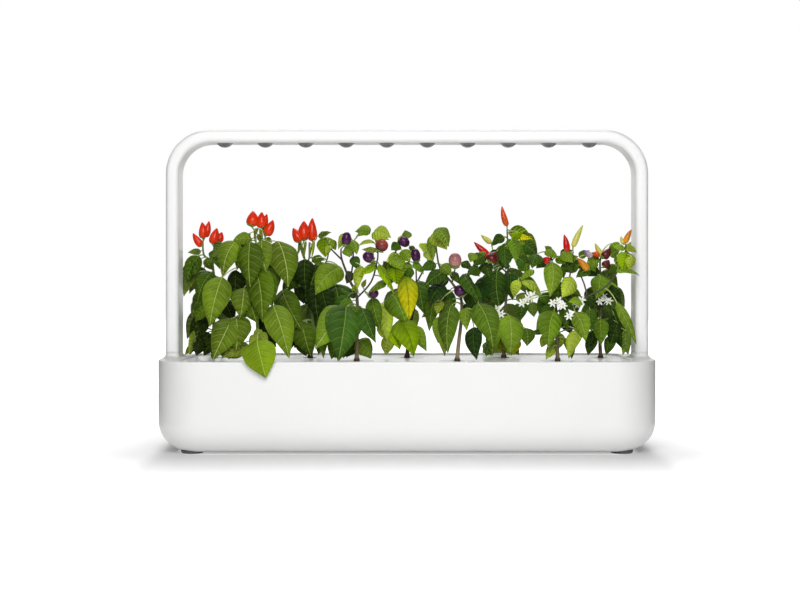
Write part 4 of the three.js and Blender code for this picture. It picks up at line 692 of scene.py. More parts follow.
leaf_bump = (0.0015, 0.75)
fruit_streaks = (240.0, 3.0)
fruit_streak_range = (0.35, 0.7, 0.0, 0.3)
fruit_streak_blend = 0.35
fruit_roughness = (150.0, 0.16, 0.28)
fruit_coat = 0.1
fruit_coat_roughness = 0.1
fruit_specular = 0.25
fruit_grain = (420.0, 2.0)
fruit_bump = (0.00012, 0.4)
bark_ridges = (900.0, 4.0, 0.6)
bark_streak_range = (0.35, 0.7, 0.0, 0.45)
bark_streak_blend = 0.5
bark_roughness = (0.5, 0.8)
bark_bump = (0.0004, 0.6)
petal_streaks = (800.0, 2.0)
petal_streak_range = (0.4, 0.7, 0.0, 0.2)
petal_roughness = 0.6
petal_grain_scale = 1200.0
petal_bump = (0.0001, 0.4)


# Colours, nodes and materials
def linear(tone):
    """A screen colour, 0 to 255, as the linear colour that Blender holds."""
    shares = [c / 255 for c in tone]
    return tuple(c / 12.92 if c <= 0.04045 else ((c + 0.055) / 1.055) ** 2.4 for c in shares) + (1.0,)


class Nodes:
    """The node tree of one material, with short ways to add a node and join it."""

    def __init__(self, name):
        self.material = bpy.data.materials.new(name)
        self.material.use_nodes = True
        self.tree = self.material.node_tree
        self.shader = self.tree.nodes["Principled BSDF"]

    def add(self, kind, settings=None, **inputs):
        node = self.tree.nodes.new(kind)
        for key, setting in (settings or {}).items():
            setattr(node, key, setting)
        for key, source in inputs.items():
            self.join(source, node.inputs[key.replace("_", " ")])
        return node

    def join(self, source, socket):
        if isinstance(source, bpy.types.NodeSocket):
            self.tree.links.new(source, socket)
        else:
            socket.default_value = source

    def math(self, operation, *sources):
        node = self.tree.nodes.new("ShaderNodeMath")
        node.operation = operation
        for source, socket in zip(sources, node.inputs):
            self.join(source, socket)
        return node.outputs[0]

    def range(self, source, low, high, to_low=0.0, to_high=1.0, smooth=True):
        node = self.tree.nodes.new("ShaderNodeMapRange")
        node.interpolation_type = "SMOOTHSTEP" if smooth else "LINEAR"
        for source_value, socket in zip((source, low, high, to_low, to_high), node.inputs):
            self.join(source_value, socket)
        return node.outputs[0]

    def mix(self, share, first, second, blend="MIX"):
        node = self.tree.nodes.new("ShaderNodeMix")
        node.data_type = "RGBA"
        node.blend_type = blend
        self.join(share, node.inputs[0])
        self.join(first, node.inputs[6])
        self.join(second, node.inputs[7])
        return node.outputs[2]

    def places(self):
        return self.add("ShaderNodeTexCoord").outputs["Object"]

    def noise(self, scale, detail=3.0, roughness=0.5, places=None):
        node = self.add("ShaderNodeTexNoise", None, Scale=scale, Detail=detail, Roughness=roughness)
        self.tree.links.new(places or self.places(), node.inputs["Vector"])
        return node.outputs["Fac"]

    def varied(self, scale, low, high):
        """Noise of one scale, spread between two values."""
        return self.range(self.noise(scale), noise_low, noise_high, low, high)

    def bump(self, height, distance, strength=1.0):
        node = self.add("ShaderNodeBump", None, Height=height, Distance=distance, Strength=strength)
        self.tree.links.new(node.outputs["Normal"], self.shader.inputs["Normal"])

    def set(self, **inputs):
        for key, source in inputs.items():
            self.join(source, self.shader.inputs[key.replace("_", " ")])


def plastic(name, tone, roughness, grain_depth=plastic_grain_depth, coat=0.0, top_share=plastic_top_share):
    """Moulded plastic: a fine spark-eroded grain, faint mottling and painted shade that darkens what faces
    up.
    """
    n = Nodes(name)
    colour = linear(tone)
    mottled = tuple(c * plastic_mottle_share for c in colour[:3]) + (1.0,)
    dust_and_top_shade_tone = tuple(c * top_share for c in colour[:3]) + (1.0,)
    clean = n.mix(n.range(n.noise(*plastic_patches), *plastic_patch_range), mottled, colour)
    # Painted shade: faces that point up take the colour darkened by top_share
    facing = n.add("ShaderNodeSeparateXYZ", None, Vector=n.add("ShaderNodeNewGeometry").outputs["Normal"])
    top_shade_mask = n.range(facing.outputs["Z"], plastic_top_shade_start, plastic_top_shade_end)
    n.set(Base_Color=n.mix(top_shade_mask, clean, dust_and_top_shade_tone))
    low, high = (roughness * gain for gain in plastic_roughness_gains)
    n.set(Roughness=n.varied(plastic_roughness_scale, low, high))
    n.set(Coat_Weight=coat, Coat_Roughness=plastic_coat_roughness)
    n.bump(n.noise(plastic_grain_scale, 2.0), grain_depth, plastic_grain_strength)
    return n.material


def rubber(name, tone):
    n = Nodes(name)
    colour = linear(tone)
    dust_and_top_shade_tone = tuple(min(1.0, c * rubber_dust_gain) for c in colour[:3]) + (1.0,)
    n.set(Base_Color=n.mix(n.range(n.noise(*rubber_patches), *rubber_patch_range), colour, dust_and_top_shade_tone))
    n.set(Roughness=n.varied(*rubber_roughness))
    n.bump(n.noise(*rubber_grain), *rubber_bump)
    return n.material


def smoked_lens(name):
    """Smoked polycarbonate: dark body, polished skin, a paler crown where the light guide shows."""
    n = Nodes(name)
    height = n.add("ShaderNodeSeparateXYZ", None, Vector=n.places()).outputs["Z"]
    crown = n.range(height, arch_height - leg_width - lens_hang, arch_height - leg_width)
    n.set(Base_Color=n.mix(crown, linear(lens_body_tone), linear(lens_crown_tone)))
    n.set(Roughness=n.varied(*lens_roughness))
    n.set(Coat_Weight=lens_coat, Coat_Roughness=lens_coat_roughness)
    n.bump(n.noise(lens_grain_scale), *lens_bump)
    return n.material


def circuit_board(name, tone, copper_tone):
    n = Nodes(name)
    cells = n.add("ShaderNodeTexBrick", {"offset": 0.5}, Scale=board_cell_scale, Mortar_Size=board_trace)
    n.tree.links.new(n.places(), cells.inputs["Vector"])
    n.set(Base_Color=n.mix(cells.outputs["Fac"], linear(tone), linear(copper_tone)))
    n.set(Roughness=n.varied(*board_roughness))
    n.bump(n.noise(board_grain_scale), *board_bump)
    return n.material


def growing_soil(name):
    n = Nodes(name)
    crumbs = n.add("ShaderNodeTexVoronoi", None, Scale=soil_crumb_scale, Randomness=1.0)
    n.tree.links.new(n.places(), crumbs.inputs["Vector"])
    patches = n.noise(*soil_patches)
    damp, dry, shade = (linear(tone) for tone in soil_tones)
    colour = n.mix(n.range(patches, *soil_patch_range), damp, dry)
    # Painted shade in the gaps between crumbs
    between = n.range(crumbs.outputs["Distance"], *soil_crumb_shade_range)
    n.set(Base_Color=n.mix(between, colour, shade))
    n.set(Roughness=n.range(patches, noise_low, noise_high, *soil_dullness))
    n.bump(crumbs.outputs["Distance"], *soil_bump)
    return n.material


def leaf_skin(name):
    """Leaf: a pale midrib, curved side veins, quilting between them, painted shade in the dips along the
    veins and a duller underside.
    The attribute leaf_place holds the share of the length, the share of the half width and the side."""
    n = Nodes(name)
    place = n.add("ShaderNodeAttribute", {"attribute_name": "leaf_place"}).outputs["Vector"]
    parts = n.add("ShaderNodeSeparateXYZ", None, Vector=place)
    along = parts.outputs["X"]
    aside = n.math("ABSOLUTE", parts.outputs["Y"])
    under = parts.outputs["Z"]
    tone = n.add("ShaderNodeAttribute", {"attribute_name": "leaf_tone"}).outputs["Color"]
    vein_tone = n.add("ShaderNodeAttribute", {"attribute_name": "vein_tone"}).outputs["Color"]
    wobble = n.noise(*leaf_wobble)
    curve = n.math("MULTIPLY", aside, aside)
    bend = n.math("MULTIPLY_ADD", curve, leaf_vein_curve, n.math("MULTIPLY", wobble, leaf_wobble_share))
    straight = n.math("MULTIPLY_ADD", aside, leaf_vein_slant, n.math("MULTIPLY", along, leaf_vein_pairs))
    phase = n.math("ADD", straight, bend)
    step = n.math("FRACT", phase)
    ridge = n.math("MULTIPLY", n.math("ABSOLUTE", n.math("SUBTRACT", step, 0.5)), 2.0)
    side_vein = n.range(ridge, leaf_side_vein_start, leaf_side_vein_end)
    fading = n.range(aside, 0.5, 1.0, leaf_vein_inner_share, leaf_vein_outer_share)
    side_vein = n.math("MULTIPLY", side_vein, fading)
    midrib = n.range(aside, leaf_midrib_inner, leaf_midrib_outer, 1.0, 0.0)
    veins = n.math(
        "MAXIMUM", n.math("MULTIPLY", midrib, leaf_midrib_strength),
        n.math("MULTIPLY", side_vein, leaf_side_vein_strength))
    net = n.add("ShaderNodeTexVoronoi", {"feature": "DISTANCE_TO_EDGE"}, Scale=leaf_net_scale)
    n.tree.links.new(n.places(), net.inputs["Vector"])
    netting = n.range(net.outputs["Distance"], 0.0, leaf_net_width, leaf_net_strength, 0.0)
    patches = n.varied(*leaf_patch_gains)
    grey = n.add("ShaderNodeCombineColor", None, Red=patches, Green=patches, Blue=patches).outputs[0]
    shaded = n.mix(1.0, tone, grey, "MULTIPLY")
    # Painted shade: the leaf darkens in the dips along the side veins
    hollow = n.range(ridge, *leaf_hollow_range, 0.0, leaf_hollow_share)
    shaded = n.mix(hollow, shaded, n.mix(leaf_hollow_blend, shaded, linear(leaf_hollow_shade_tone)))
    veined = n.mix(n.math("MAXIMUM", veins, netting), shaded, vein_tone)
    dull = n.math("MULTIPLY", under, leaf_under_share)
    n.set(Base_Color=n.mix(dull, veined, linear(leaf_under_tone)))
    rough = n.varied(*leaf_roughness)
    n.set(Roughness=n.math("ADD", rough, n.math("MULTIPLY", under, leaf_under_roughness)))
    n.set(Specular_IOR_Level=leaf_specular)
    groove = n.math("MULTIPLY", midrib, leaf_midrib_groove)
    quilt = n.math("SUBTRACT", n.range(ridge, 0.0, 1.0, 1.0, 0.0), groove)
    quilt = n.math("ADD", quilt, n.math("MULTIPLY", netting, leaf_net_depth))
    n.bump(quilt, *leaf_bump)
    return n.material


def fruit_skin(name):
    """Pepper skin: waxed, with faint streaks along the fruit."""
    n = Nodes(name)
    tone = n.add("ShaderNodeAttribute", {"attribute_name": "fruit_tone"}).outputs["Color"]
    streaks = n.range(n.noise(*fruit_streaks), *fruit_streak_range)
    n.set(Base_Color=n.mix(streaks, tone, n.mix(fruit_streak_blend, tone, linear(fruit_streak_tone))))
    n.set(Roughness=n.varied(*fruit_roughness))
    n.set(Coat_Weight=fruit_coat, Coat_Roughness=fruit_coat_roughness, Specular_IOR_Level=fruit_specular)
    n.bump(n.noise(*fruit_grain), *fruit_bump)
    return n.material


def stem_bark(name):
    """Stem: green above and corky below, in the attribute stem_tone, with ridges along it."""
    n = Nodes(name)
    tone = n.add("ShaderNodeAttribute", {"attribute_name": "stem_tone"}).outputs["Color"]
    stretched = n.add("ShaderNodeMapping", None, Vector=n.places())
    stretched.inputs["Scale"].default_value = stem_grain_stretch
    ridges = n.noise(*bark_ridges, stretched.outputs["Vector"])
    streak = n.range(ridges, *bark_streak_range)
    n.set(Base_Color=n.mix(streak, tone, n.mix(bark_streak_blend, tone, linear(bark_streak_tone))))
    n.set(Roughness=n.range(ridges, noise_low, noise_high, *bark_roughness))
    n.bump(ridges, *bark_bump)
    return n.material


def petal_skin(name):
    n = Nodes(name)
    tone = n.add("ShaderNodeAttribute", {"attribute_name": "leaf_tone"}).outputs["Color"]
    streaks = n.range(n.noise(*petal_streaks), *petal_streak_range)
    n.set(Base_Color=n.mix(streaks, tone, linear(petal_streak_tone)))
    n.set(Roughness=petal_roughness)
    n.bump(n.noise(petal_grain_scale), *petal_bump)
    return n.material


shell_white = plastic("shell_white", (241, 241, 240), 0.34, coat=0.15, top_share=0.68)
arch_gloss_white = plastic("arch_gloss_white", (253, 253, 253), 0.32, 0.000004, coat=0.12, top_share=0.55)
tray_white = plastic("tray_gloss_white", (246, 246, 246), 0.3, coat=0.1, top_share=0.82)
pod_plastic = plastic("pod_plastic", (240, 240, 239), 0.3)
lid_plastic = plastic("lid_plastic", (222, 222, 219), 0.26)
cover_plastic = plastic("cover_plastic", (236, 236, 236), 0.5)
float_plastic = plastic("float_plastic", (240, 240, 238), 0.35)
button_plastic = plastic("button_plastic", (232, 232, 230), 0.4)
inlet_plastic = plastic("inlet_plastic", (24, 24, 25), 0.5, 0.00004)
foot_rubber = rubber("foot_grey_rubber", (98, 99, 101))
lens_smoke = smoked_lens("lens_smoke")
lamp_board_mask = circuit_board("lamp_board_mask", (224, 227, 220), (198, 204, 196))
driver_board_mask = circuit_board("driver_board_mask", (29, 90, 52), (52, 124, 78))
soil_crumbs = growing_soil("soil_crumbs")
leaf_material = leaf_skin("leaf_skin")
fruit_material = fruit_skin("fruit_skin")
stem_material = stem_bark("stem_bark")
petal_material = petal_skin("petal_skin")


# Mesh helpers
def new_object(name, vertices, faces, material, turn_outward=True):
    mesh = bpy.data.meshes.new(name)
    mesh.from_pydata([tuple(v) for v in vertices], [], faces)
    if turn_outward:
        outward = bmesh.new()
        outward.from_mesh(mesh)
        bmesh.ops.recalc_face_normals(outward, faces=outward.faces)
        outward.to_mesh(mesh)
        outward.free()
    mesh.materials.append(material)
    obj = bpy.data.objects.new(name, mesh)
    bpy.context.scene.collection.objects.link(obj)
    return obj


def smoothed(obj, edge=0.0, crease_degrees=sharp_edge_degrees):
    """Smooth shading up to the crease angle, and a small round on sharper edges."""
    obj.data.shade_smooth()
    obj.data.set_sharp_from_angle(angle=math.radians(crease_degrees))
    if edge:
        bevel = obj.modifiers.new("edge_round", "BEVEL")
        bevel.width = edge
        bevel.segments = 2
        bevel.limit_method = "ANGLE"
        bevel.angle_limit = math.radians(crease_degrees)
        bevel.harden_normals = True
    return obj


def weighted(obj):
    """Lets the flat faces set the shading where they meet narrow round ones."""
    normals = obj.modifiers.new("flat_faces_lead", "WEIGHTED_NORMAL")
    normals.keep_sharp = True
    return obj


def installed(obj, body, slot, *nodes):
    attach(obj, body)
    if nodes:
        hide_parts(*nodes)


def combined(target, tool, operation):
    """Joins a tool to the target or cuts it out, and removes the tool."""
    modifier = target.modifiers.new(operation.lower(), "BOOLEAN")
    modifier.operation = operation
    modifier.solver = "EXACT"
    modifier.object = tool
    graph = bpy.context.evaluated_depsgraph_get()
    graph.update()
    made = bpy.data.meshes.new_from_object(target.evaluated_get(graph))
    target.modifiers.clear()
    old = target.data
    target.data = made
    bpy.data.meshes.remove(old)
    bpy.data.objects.remove(tool)
    return target


def joined(target, tool):
    return combined(target, tool, "UNION")


def cut(target, tool):
    return combined(target, tool, "DIFFERENCE")


def rounded_ring(half_x, half_y, radius, z, steps, middle_x=0.0):
    ring = []
    for sx, sy, quarter in [(1, 1, 0), (-1, 1, 1), (-1, -1, 2), (1, -1, 3)]:
        for k in range(steps + 1):
            angle = (quarter + k / steps) * math.pi / 2
            x = sx * (half_x - radius) + radius * math.cos(angle)
            y = sy * (half_y - radius) + radius * math.sin(angle)
            ring.append(Vector((middle_x + x, y, z)))
    return ring


def loft(name, rings, material):
    """A closed solid through rings of equal point counts."""
    count = len(rings[0])
    vertices = [p for ring in rings for p in ring]
    faces = []
    for i in range(len(rings) - 1):
        for k in range(count):
            m = (k + 1) % count
            faces.append((i * count + k, i * count + m, (i + 1) * count + m, (i + 1) * count + k))
    last = (len(rings) - 1) * count
    faces.append(tuple(reversed(range(count))))
    faces.append(tuple(range(last, last + count)))
    return new_object(name, vertices, faces, material)


def turned(name, outline, material, x=0.0, y=0.0):
    """A solid of revolution from a closed outline of [radius, height]."""
    vertices = []
    rows = []
    for radius, height in outline:
        row = []
        for k in range(round_segments if radius > 0 else 1):
            angle = k / round_segments * 2 * math.pi
            row.append(len(vertices))
            vertices.append(Vector((x + radius * math.cos(angle), y + radius * math.sin(angle), height)))
        rows.append(row)
    faces = []
    for here, after in zip(rows, rows[1:] + rows[:1]):
        for k in range(round_segments):
            m = (k + 1) % round_segments
            corners = [here[k % len(here)], here[m % len(here)], after[m % len(after)], after[k % len(after)]]
            unlike = list(dict.fromkeys(corners))
            if len(unlike) > 2:
                faces.append(tuple(unlike))
    return new_object(name, vertices, faces, material)


def block(name, low, high, material):
    corners = [(x, y, z) for z in (low[2], high[2]) for y in (low[1], high[1]) for x in (low[0], high[0])]
    faces = [(0, 2, 3, 1), (4, 5, 7, 6), (0, 1, 5, 4), (2, 6, 7, 3), (0, 4, 6, 2), (1, 3, 7, 5)]
    return new_object(name, [Vector(c) for c in corners], faces, material)


# Tank
def tank_ring(inset, z):
    return rounded_ring(half_length - inset, half_depth - inset, tank_corner_radius - inset, z, corner_steps)


def belly_rings(wall, lowest):
    radius = tank_belly_radius - wall
    centre_height = foot_standoff + tank_belly_radius
    first = math.asin(min(1.0, (centre_height - lowest) / radius))
    rings = []
    for k in range(belly_steps + 1):
        angle = first * (1 - k / belly_steps)
        inset = tank_belly_radius - radius * math.cos(angle)
        rings.append(tank_ring(inset, centre_height - radius * math.sin(angle)))
    return rings


def well_ring(spread, z):
    half_x = tray_well_length / 2 + spread
    half_y = tray_well_depth / 2 + spread
    return rounded_ring(half_x, half_y, tray_well_radius + spread, z, corner_steps)


def leg_ring(side, spread, z):
    half_x = leg_width / 2 + spread
    half_y = leg_depth / 2 + spread
    return rounded_ring(half_x, half_y, leg_corner_radius + spread, z, section_steps, side * leg_centre_x)


def socket_neck(side):
    rings = [leg_ring(side, neck_flare, tank_rim_height - tank_wall)]
    for k in range(neck_flare_steps + 1):
        angle = k / neck_flare_steps * math.pi / 2
        spread = neck_flare * (1 - math.sin(angle))
        rings.append(leg_ring(side, spread, tank_rim_height + neck_flare * (1 - math.cos(angle))))
    rings.append(leg_ring(side, 0.0, seam_height))
    return loft("neck", rings, shell_white)


def socket_prism(spread, low, high, side):
    half_x = tenon_width / 2 + spread
    half_y = tenon_depth / 2 + spread
    radius = tenon_corner_radius + min(0.0, spread) / 2
    x = side * leg_centre_x
    rings = [rounded_ring(half_x, half_y, radius, z, section_steps, x) for z in (low, high)]
    return loft("socket", rings, shell_white)


ledge_top = tray_top_height - tray_thickness - fit_gap
ledge_bottom = ledge_top - ledge_thickness
tenon_bottom = seam_height - tenon_length
socket_bottom = tenon_bottom - socket_floor_gap


def make_tank():
    rings = belly_rings(0.0, foot_standoff)
    for k in range(rim_steps + 1):
        angle = k / rim_steps * math.pi / 2
        inset = tank_rim_edge * (1 - math.cos(angle))
        rings.append(tank_ring(inset, tank_rim_height - tank_rim_edge * (1 - math.sin(angle))))
    rings.append(well_ring(root_overlap, tank_rim_height))
    rings.append(well_ring(0.0, tank_rim_height - root_overlap))
    rings.append(well_ring(0.0, ledge_top))
    rings.append(well_ring(-ledge_width, ledge_top))
    rings.append(well_ring(-ledge_width, ledge_bottom))
    rings.append(tank_ring(tank_wall, ledge_bottom))
    rings.extend(reversed(belly_rings(tank_wall, tank_floor_height)))
    shell = loft("tank_shell", rings, shell_white)
    outline = loft("outline", [
        tank_ring(tank_rim_edge / 2, socket_bottom - cut_margin),
        tank_ring(tank_rim_edge / 2, seam_height + cut_margin)], shell_white)
    necks = joined(socket_neck(-1), socket_neck(1))
    necks = combined(necks, outline, "INTERSECT")
    shell = joined(shell, necks)
    boss_bottom = socket_bottom - socket_wall
    boss_top = tank_rim_height - tank_wall
    for side in (-1, 1):
        shell = joined(shell, socket_prism(fit_gap + socket_wall, boss_bottom, boss_top, side))
        shell = cut(shell, socket_prism(fit_gap, socket_bottom, seam_height + cut_margin, side))
    radius = foot_radius + fit_gap
    top = foot_height + fit_gap
    pocket_outline = [[0, -cut_margin], [radius, -cut_margin], [radius, top], [0, top]]
    for sx, sy in foot_sites:
        x = sx * foot_from_middle_x
        shell = cut(shell, turned("pocket", pocket_outline, shell_white, x, sy * foot_from_middle_y))
    weighted(smoothed(shell))
    installed(shell, "tank", "white_shell", "tank")


foot_sites = [(-1, -1), (1, -1), (-1, 1), (1, 1)]
make_tank()
foot_outline = [
    [0, 0],
    [foot_radius - foot_edge, 0],
    [foot_radius, foot_edge],
    [foot_radius, foot_height],
    [0, foot_height],
]
for number, (sx, sy) in enumerate(foot_sites, 1):
    x = sx * foot_from_middle_x
    foot = turned(f"foot_pad_{number}", foot_outline, foot_rubber, x, sy * foot_from_middle_y)
    installed(smoothed(foot, foot_edge / 4), "tank", "foot_rubber", f"foot_{number}")

# Tray
pod_sites = []
for number in range(pod_count):
    row = 1 if number % 2 == 0 else -1
    pod_sites.append(((number - middle_pod) * pod_pitch, row * pod_row_offset))


def tray_hole(outline, x, y):
    return turned("hole", outline, tray_white, x, y)


def make_tray():
    low = tray_top_height - tray_thickness
    rings = [well_ring(-fit_gap, z) for z in (low, tray_top_height)]
    plate = loft("tray_plate", rings, tray_white)
    seat = cup_flange_radius + fit_gap
    mouth = cup_mouth_radius + fit_gap
    shelf = tray_top_height - pod_counterbore_depth
    above = tray_top_height + cut_margin
    below = low - cut_margin
    vent_floor = tray_top_height - vent_depth
    pod_outline = [[0, below], [mouth, below], [mouth, shelf], [seat, shelf], [seat, above], [0, above]]
    vent_outline = [[0, vent_floor], [vent_radius, vent_floor], [vent_radius, above], [0, above]]
    float_outline = [[0, below], [float_hole_radius, below], [float_hole_radius, above], [0, above]]
    for x, y in pod_sites:
        plate = cut(plate, tray_hole(pod_outline, x, y))
        for vent_x in (x - vent_from_pod, x + vent_from_pod):
            if abs(vent_x) < tray_well_length / 2 - cut_margin:
                plate = cut(plate, tray_hole(vent_outline, vent_x, y))
    plate = cut(plate, tray_hole(float_outline, float_x, float_y))
    weighted(smoothed(plate, fit_gap))
    installed(plate, "tray", "white_tray", "tray")


make_tray()


# Pods
def make_soil(number, x, y):
    bottom = cup_bottom_height + cup_floor + fit_gap
    outline = [[0, bottom], [soil_toe_radius, bottom], [soil_top_radius, soil_top_height]]
    for k in range(1, soil_rings):
        outline.append([soil_top_radius * (1 - k / soil_rings), soil_top_height])
    outline.append([0, soil_top_height])
    soil = turned(f"soil_bed_{number}", outline, soil_crumbs, x, y)
    for vertex in soil.data.vertices:
        if vertex.co.z > soil_top_height - root_overlap:
            vertex.co.z -= soil_roughness * rng.random()
    installed(smoothed(soil, crease_degrees=soil_crease_degrees), f"pod_{number}", "soil", f"soil_{number}")


def make_cup(number, x, y):
    flange_bottom = tray_top_height - cup_flange_thickness
    lid_bottom = tray_top_height - lid_thickness
    lid_seat = lid_bottom - fit_gap
    cup = turned(f"pod_basket_{number}", [
        [cup_drain_radius, cup_bottom_height],
        [cup_toe_radius, cup_bottom_height],
        [cup_mouth_radius, flange_bottom],
        [cup_flange_radius, flange_bottom],
        [cup_flange_radius, tray_top_height],
        [lid_radius + fit_gap, tray_top_height],
        [lid_radius + fit_gap, lid_seat],
        [cup_mouth_radius - cup_wall, lid_seat],
        [cup_toe_radius - cup_wall, cup_bottom_height + cup_floor],
        [cup_drain_radius, cup_bottom_height + cup_floor],
    ], pod_plastic, x, y)
    installed(smoothed(cup, fit_gap), f"pod_{number}", "pod_white", f"pod_cup_{number}")
    lid = turned(f"pod_ring_{number}", [
        [lid_opening_radius, lid_bottom],
        [lid_radius, lid_bottom],
        [lid_radius, tray_top_height],
        [lid_opening_radius, tray_top_height],
    ], lid_plastic, x, y)
    installed(smoothed(lid, fit_gap), f"pod_{number}", "lid_white", f"pod_lid_{number}")


for number, (x, y) in enumerate(pod_sites, 1):
    make_cup(number, x, y)
    make_soil(number, x, y)

# Float
head_bottom = tray_top_height + fit_gap
head_top = head_bottom + float_head_height
float_piece = turned("float_stick", [
    [0, float_bottom_height],
    [float_radius - float_nose, float_bottom_height],
    [float_radius, float_bottom_height + float_nose],
    [float_radius, head_bottom],
    [float_head_radius, head_bottom],
    [float_head_radius, head_top - float_head_edge],
    [float_head_radius - float_head_edge, head_top],
    [0, head_top],
], float_plastic, float_x, float_y)
installed(smoothed(float_piece, fit_gap), "float", "float_white", "float")

# Lamp arch
bend_radius = arch_outer_radius - leg_width / 2
bar_middle_height = arch_height - leg_width / 2
bar_underside = arch_height - leg_width
bend_centre_x = leg_centre_x - bend_radius
bend_centre_z = bar_middle_height - bend_radius


def arch_ring(x, z, out_x, out_z, half_wide, half_deep, radius):
    ring = rounded_ring(half_wide, half_deep, radius, 0.0, section_steps)
    return [Vector((x + p.x * out_x, p.y, z + p.x * out_z)) for p in ring]


def arch_tube(name, bottom, inset):
    half_wide = leg_width / 2 - inset
    half_deep = leg_depth / 2 - inset
    radius = leg_corner_radius - inset
    rings = [arch_ring(-leg_centre_x, bottom, -1, 0, half_wide, half_deep, radius)]
    for side in (-1, 1):
        for k in range(bend_steps + 1):
            turn = k / bend_steps if side < 0 else 1 - k / bend_steps
            out_x = side * math.cos(turn * math.pi / 2)
            out_z = math.sin(turn * math.pi / 2)
            rings.append(arch_ring(
                side * bend_centre_x + bend_radius * out_x, bend_centre_z + bend_radius * out_z,
                out_x, out_z, half_wide, half_deep, radius))
    rings.append(arch_ring(leg_centre_x, bottom, 1, 0, half_wide, half_deep, radius))
    return loft(name, rings, arch_gloss_white)


board_x = leg_centre_x - driver_board_offset
inlet_left = board_x + board_thickness / 2 + fit_gap
inlet_x = inlet_left + inlet_width / 2
hollow_back = leg_depth / 2 - leg_wall


def leg_hole(radius, back):
    """A round cutter along Y at the button's place, from the middle of the leg to a plane behind it."""
    tool = turned("hole", [[0, 0], [radius, 0], [radius, back], [0, back]], arch_gloss_white)
    for vertex in tool.data.vertices:
        x, y, z = vertex.co
        vertex.co = (inlet_x + x, z, button_height - y)
    return tool


def make_arch():
    bottom = seam_height + fit_gap
    hollow_bottom = bottom + tenon_shoulder
    arch = arch_tube("arch_shell", bottom, 0.0)
    arch = cut(arch, arch_tube("hollow", hollow_bottom, leg_wall))
    bore_bottom = tenon_bottom - cut_margin
    for side in (-1, 1):
        arch = joined(arch, socket_prism(0.0, tenon_bottom, bottom + root_overlap, side))
        arch = cut(arch, socket_prism(-tenon_wall, bore_bottom, hollow_bottom + root_overlap, side))
    arch = cut(arch, block(
        "slot", (-lamp_slot_length / 2, -lamp_slot_depth / 2, bar_underside - cut_margin),
        (lamp_slot_length / 2, lamp_slot_depth / 2, bar_middle_height), arch_gloss_white))
    reach = inlet_width / 2 + fit_gap
    arch = cut(arch, block(
        "inlet_hole", (inlet_x - reach, 0.0, inlet_height - reach),
        (inlet_x + reach, leg_depth / 2 + cut_margin, inlet_height + reach), arch_gloss_white))
    arch = cut(arch, leg_hole(button_radius + fit_gap, leg_depth / 2 + cut_margin))
    arch = cut(arch, leg_hole(button_flange_radius + fit_gap, hollow_back))
    weighted(smoothed(arch))
    installed(arch, "lamp", "arch_white", "lamp_arch")


make_arch()

# Lamp cover and lens strip
cover_bottom = bar_underside + fit_gap
cover_top = cover_bottom + cover_thickness
cover_half_x = lamp_slot_length / 2 - fit_gap
cover_half_y = lamp_slot_depth / 2 - fit_gap
lens_sites = [(k - (lens_count - 1) / 2) * lens_pitch for k in range(lens_count)]


def make_cover():
    cover = block(
        "cover_plate", (-cover_half_x, -cover_half_y, cover_bottom), (cover_half_x, cover_half_y, cover_top),
        cover_plastic)
    for side in (-1, 1):
        ends = sorted((side * cover_half_y, side * (cover_half_y - cover_cheek)))
        cheek = block(
            "cheek", (-cover_half_x, ends[0], cover_top - root_overlap),
            (cover_half_x, ends[1], cover_top + cover_cheek_height), cover_plastic)
        cover = joined(cover, cheek)
    radius = lens_radius + fit_gap
    below = cover_bottom - cut_margin
    above = cover_top + root_overlap
    for x in lens_sites:
        hole_outline = [[0, below], [radius, below], [radius, above], [0, above]]
        cover = cut(cover, turned("hole", hole_outline, cover_plastic, x))
    weighted(smoothed(cover, fit_gap))
    installed(cover, "lamp", "cover_white", "lamp_cover")


def make_lenses():
    bottom = cover_top + fit_gap
    half_x = cover_half_x - fit_gap
    half_y = cover_half_y - cover_cheek - fit_gap
    strip = block(
        "lens_row", (-half_x, -half_y, bottom), (half_x, half_y, bottom + lens_plate_thickness), lens_smoke)
    sphere = (lens_radius ** 2 + lens_hang ** 2) / (2 * lens_hang)
    half_angle = math.asin(lens_radius / sphere)
    outline = [[0, bar_underside - lens_hang]]
    for k in range(1, lens_rings + 1):
        angle = half_angle * k / lens_rings
        outline.append([sphere * math.sin(angle), bar_underside - lens_hang + sphere * (1 - math.cos(angle))])
    outline.append([lens_radius, bottom + root_overlap])
    outline.append([0, bottom + root_overlap])
    for x in lens_sites:
        strip = joined(strip, turned("dome", outline, lens_smoke, x))
    smoothed(strip)
    installed(strip, "lamp", "smoke_lens", "lens_strip")


make_cover()
make_lenses()

# Power button
button_back = leg_depth / 2 + button_stand_out
button_front = button_back - button_length
flange_back = hollow_back - fit_gap
button_outline = [
    [0, button_front],
    [button_radius, button_front],
    [button_radius, flange_back - button_flange_thickness],
    [button_flange_radius, flange_back - button_flange_thickness],
    [button_flange_radius, flange_back],
    [button_radius, flange_back],
    [button_radius, button_back],
    [0, button_back],
]
button = turned("button_cap", button_outline, button_plastic)
for vertex in button.data.vertices:
    across, down, back = vertex.co
    vertex.co = (inlet_x + across, back, button_height - down)
installed(smoothed(button, fit_gap), "power_button", "button_white", "power_button")

# CAD nodes that keep their own mesh
for node, material in [
    ("led_board", lamp_board_mask), ("driver_board", driver_board_mask), ("power_inlet", inlet_plastic),
]:
    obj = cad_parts[node]
    obj.data.materials.clear()
    obj.data.materials.append(material)


# Plants
def seen_at(across_px, down_px, depth):
    step = (viewer_distance + depth) / picture_focus_px
    return Vector((
        (across_px - picture_middle_px) * step, depth,
        viewer_eye_height - (down_px - picture_horizon_px) * step))


